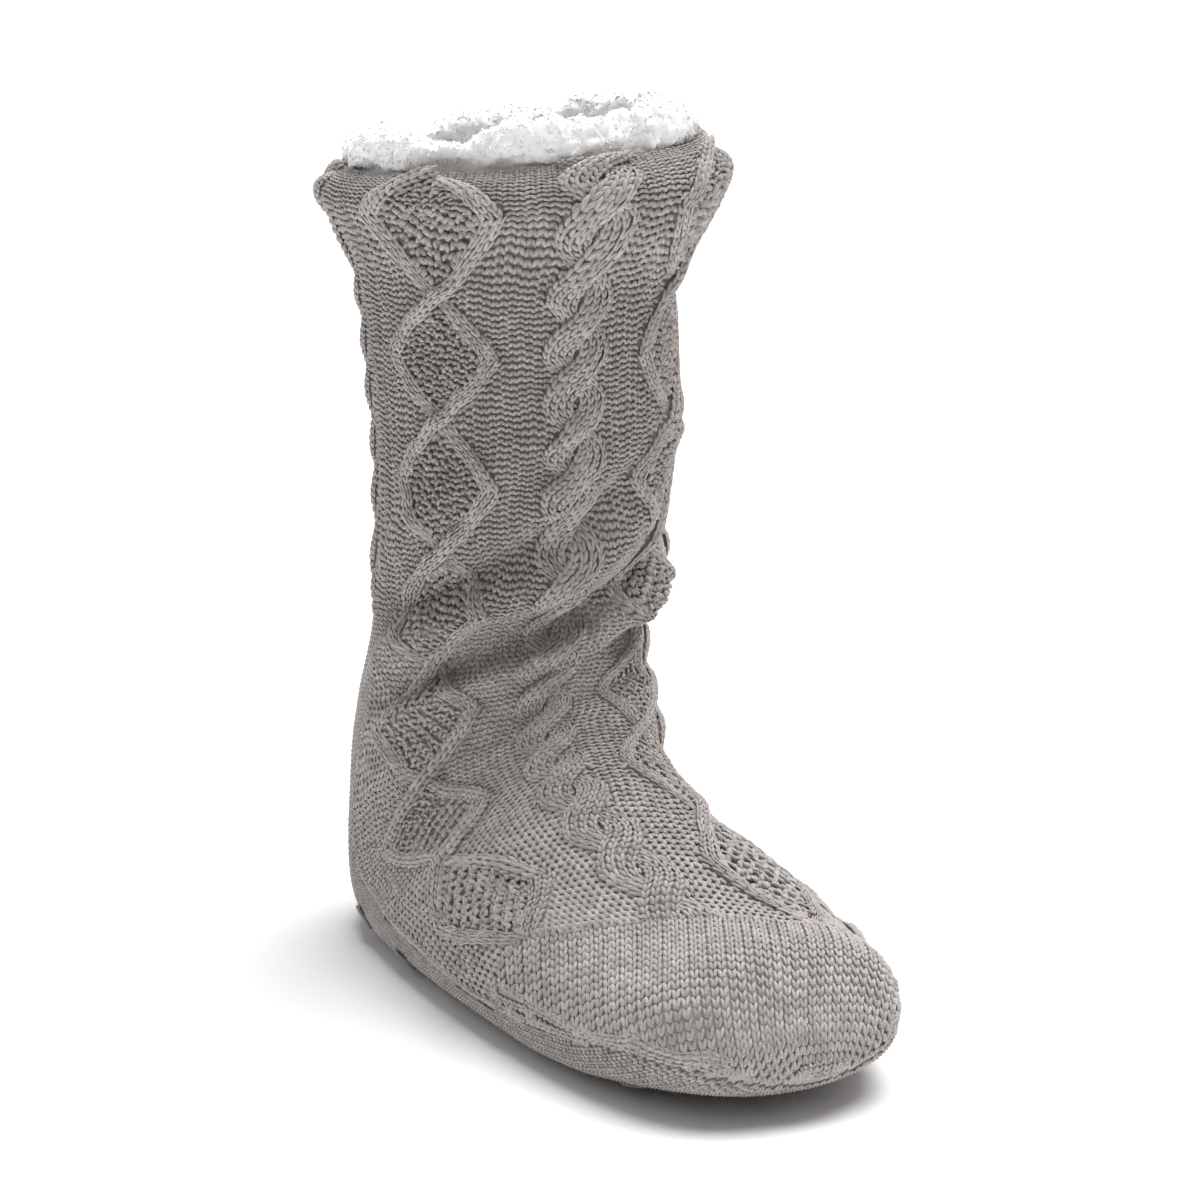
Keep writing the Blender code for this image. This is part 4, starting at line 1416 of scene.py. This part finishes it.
def curl_tree():
    """Curls scattered over the faces of a surface that carry a share of pile."""
    tree, given = open_tree("scatter_curls", {
        "Surface": "Geometry",
        "Curl": "Object",
        "Pile": "Material",
        "Spacing": "Float",
        "Density": "Float",
        "Least lean": "Vector",
        "Most lean": "Vector",
        "Seed": "Int",
    }, "Curls")
    share = add_node(tree, "GeometryNodeInputNamedAttribute", {"data_type": "FLOAT"}, {"Name": "pile"})
    spread = add_node(
        tree, "GeometryNodeDistributePointsOnFaces", {"distribute_method": "POISSON"},
        links={
            "Mesh": given["Surface"],
            "Distance Min": given["Spacing"],
            "Density Max": given["Density"],
            "Density Factor": share.outputs[0],
            "Seed": given["Seed"],
        },
    )
    turned = lean_by_chance(
        tree, spread.outputs["Rotation"], given["Least lean"], given["Most lean"], given["Seed"]
    )
    growth = add_node(
        tree, "FunctionNodeRandomValue", {"data_type": "FLOAT"},
        {2: LEAST_GROWTH, 3: MOST_GROWTH}, {"Seed": given["Seed"]},
    )
    placed = {
        "Points": spread.outputs["Points"],
        "Shape": given["Curl"],
        "Rotation": turned,
        "Scale": growth.outputs[1],
    }
    copy_and_close(tree, placed, growth.outputs[1], given["Pile"], "Curls")
    return tree


# Real pile is far finer, so a curl is drawn about 1.2 mm wide, as coarse as it needs to show.
CURL = coil_shape("fleece_curl", turns=0.8, segments=4, coil=0.0006, radius=0.00035, rise=0.0009)
curls = new_piece("fleece_curls", fleece.data.copy())
heights = np.array([v.co.z for v in curls.data.vertices])
share = np.interp(heights, PILE_HEIGHTS, PILE_SHARES)
rim_share = curls.data.attributes.new("pile", "FLOAT", "POINT")
rim_share.data.foreach_set("value", share.astype(np.float32))
apply_tree(curls, curl_tree(), {
    "Curl": CURL,
    "Pile": FLEECE,
    "Spacing": 0.0012,
    "Density": 400000.0,
    "Least lean": (-0.35, -0.35, -3.1),
    "Most lean": (0.35, 0.35, 3.1),
    "Seed": 51,
})
curls.data.calc_loop_triangles()
print("Curl triangles:", len(curls.data.loop_triangles))

# %% [markdown]
# ## Rubber dots
# The dots are silicone printed on the sole: low domes about 9.5 mm across. Each stands where the CAD model
# has its plain disc, so the discs give their places. A spun profile gives one dome, and the stitches' node
# tree copies it.

# %% Print the dots


def dome_shape(name, segments):
    """A dome with a rounded shoulder, one unit in radius and in height, for the node tree to copy."""
    profile = [(1.0, -0.5), (1.0, -0.1), (0.96, 0.18), (0.82, 0.38), (0.5, 0.5)]
    verts = []
    faces = []
    for share, level in profile:
        for k in range(segments):
            turn = 2 * math.pi * k / segments
            verts.append((share * math.cos(turn), share * math.sin(turn), level))
    for i in range(len(profile) - 1):
        for k in range(segments):
            after = (k + 1) % segments
            a = i * segments
            faces.append((a + k, a + after, a + segments + after, a + segments + k))
    last = (len(profile) - 1) * segments
    verts.append((0, 0, 0.53))
    for k in range(segments):
        faces.append((last + k, last + (k + 1) % segments, len(verts) - 1))
    faces.append(tuple(range(segments))[::-1])
    return smooth_piece(name, verts, faces)


DOT_NAMES = sorted(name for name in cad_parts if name.startswith("grip_dot"))
DOT_RADIUS = 0.00475
DOT_HEIGHT = 0.0012


def disc_frame(name):
    """Middle of a CAD disc and the direction that it faces, away from the sole."""
    corners = np.array([vertex.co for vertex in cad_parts[name].data.vertices])
    middle = (corners.min(axis=0) + corners.max(axis=0)) / 2
    facing = np.linalg.svd(corners - corners.mean(axis=0))[2][2]
    if facing[2] > 0:
        facing = -facing
    return middle, facing


dot_frames = [disc_frame(name) for name in DOT_NAMES]
dot_places = np.array([middle for middle, facing in dot_frames])
dot_down = []
dot_over = []
for middle, facing in dot_frames:
    over_way = unit(np.cross(np.array([0.0, 1.0, 0.0]), facing))
    dot_over.append(over_way)
    dot_down.append(np.cross(over_way, facing))
DOME = dome_shape("rubber_dome", 20)
dot_down = np.array(dot_down)
dot_over = np.array(dot_over)
dot_sizes = np.tile([DOT_RADIUS, DOT_RADIUS, DOT_HEIGHT], (len(dot_places), 1))
dots = stitches("rubber_dots", DOME, dot_places, dot_down, dot_over, dot_sizes, 61, 0.0, RUBBER)
print("Dots:", len(DOT_NAMES))

# %% [markdown]
# ## Every piece takes its place
# The shapes that were only copied are removed. Cloth has no joints, so every piece rides on the one body,
# and each replaces the plain CAD solid that it stands for.

# %% Ride and replace
for shape in (KNIT, PURL, FINE_KNIT, FINE_PURL, SLANT, CURL, DOME):
    bpy.data.objects.remove(shape)

upper_pieces = [front_strands, back_strands, cap_stitches, seam_stitches] + ground_pieces + walls[:3]
for piece in upper_pieces:
    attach(piece, "root")
    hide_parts("knit_upper")
for piece in sole_pieces + [sole_wall]:
    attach(piece, "root")
    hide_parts("sole_heel")
for piece in (fleece, curls):
    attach(piece, "root")
    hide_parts("leg_lining", "foot_lining")
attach(dots, "root")
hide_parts(*DOT_NAMES)

# %% [markdown]
# ## Floor and light
# The photograph is a studio shot on white: light from all round, most of it from above, and a soft shadow
# close to the sole. A pale floor, a white surround and three wide banks of light, one overhead and a weak
# one from each side, give that. Suns with a wide angle light the whole floor evenly, so no grey edge shows.

# %% The studio
FLOOR_REACH = 6.0
BANK_SPREAD = 50.0
SURROUND_LIGHT = 0.24


def studio_floor():
    """A plain pale floor, painted matt."""
    material, tree, shader = new_material("floor_matt_paint")
    set_sockets(shader, {
        "Base Color": linear("#fbfbfb"),
        "Roughness": 0.9,
        "Specular IOR Level": 0.1,
    })
    data = bpy.data.meshes.new("studio_floor")
    corners = [(x * FLOOR_REACH, y * FLOOR_REACH, 0) for x, y in ((-1, -1), (1, -1), (1, 1), (-1, 1))]
    data.from_pydata(corners, [], [(0, 1, 2, 3)])
    data.materials.append(material)
    floor = new_piece("studio_floor", data)
    return floor


def soft_sun(name, direction, strength):
    """Very soft light from one direction, the same all over the floor, as from a large bank of lamps."""
    data = bpy.data.lights.new(name, "SUN")
    data.angle = math.radians(BANK_SPREAD)
    data.energy = strength
    light = bpy.data.objects.new(name, data)
    light.rotation_euler = Vector(direction).to_track_quat("-Z", "Y").to_euler()
    bpy.context.scene.collection.objects.link(light)
    return light


studio_floor()
soft_sun("overhead_bank", (-0.25, -0.06, -1.0), 4.1)
soft_sun("left_bank", (0.63, -0.91, -0.5), 0.45)
soft_sun("right_bank", (-1.11, 0.05, -0.6), 0.25)
surround = bpy.data.worlds.new("white_surround")
surround.use_nodes = True
background = surround.node_tree.nodes["Background"]
background.inputs["Color"].default_value = linear("#ffffff")
background.inputs["Strength"].default_value = SURROUND_LIGHT
bpy.context.scene.world = surround
bpy.context.scene.view_settings.view_transform = "Standard"
print("Banks of light:", len(bpy.data.lights))
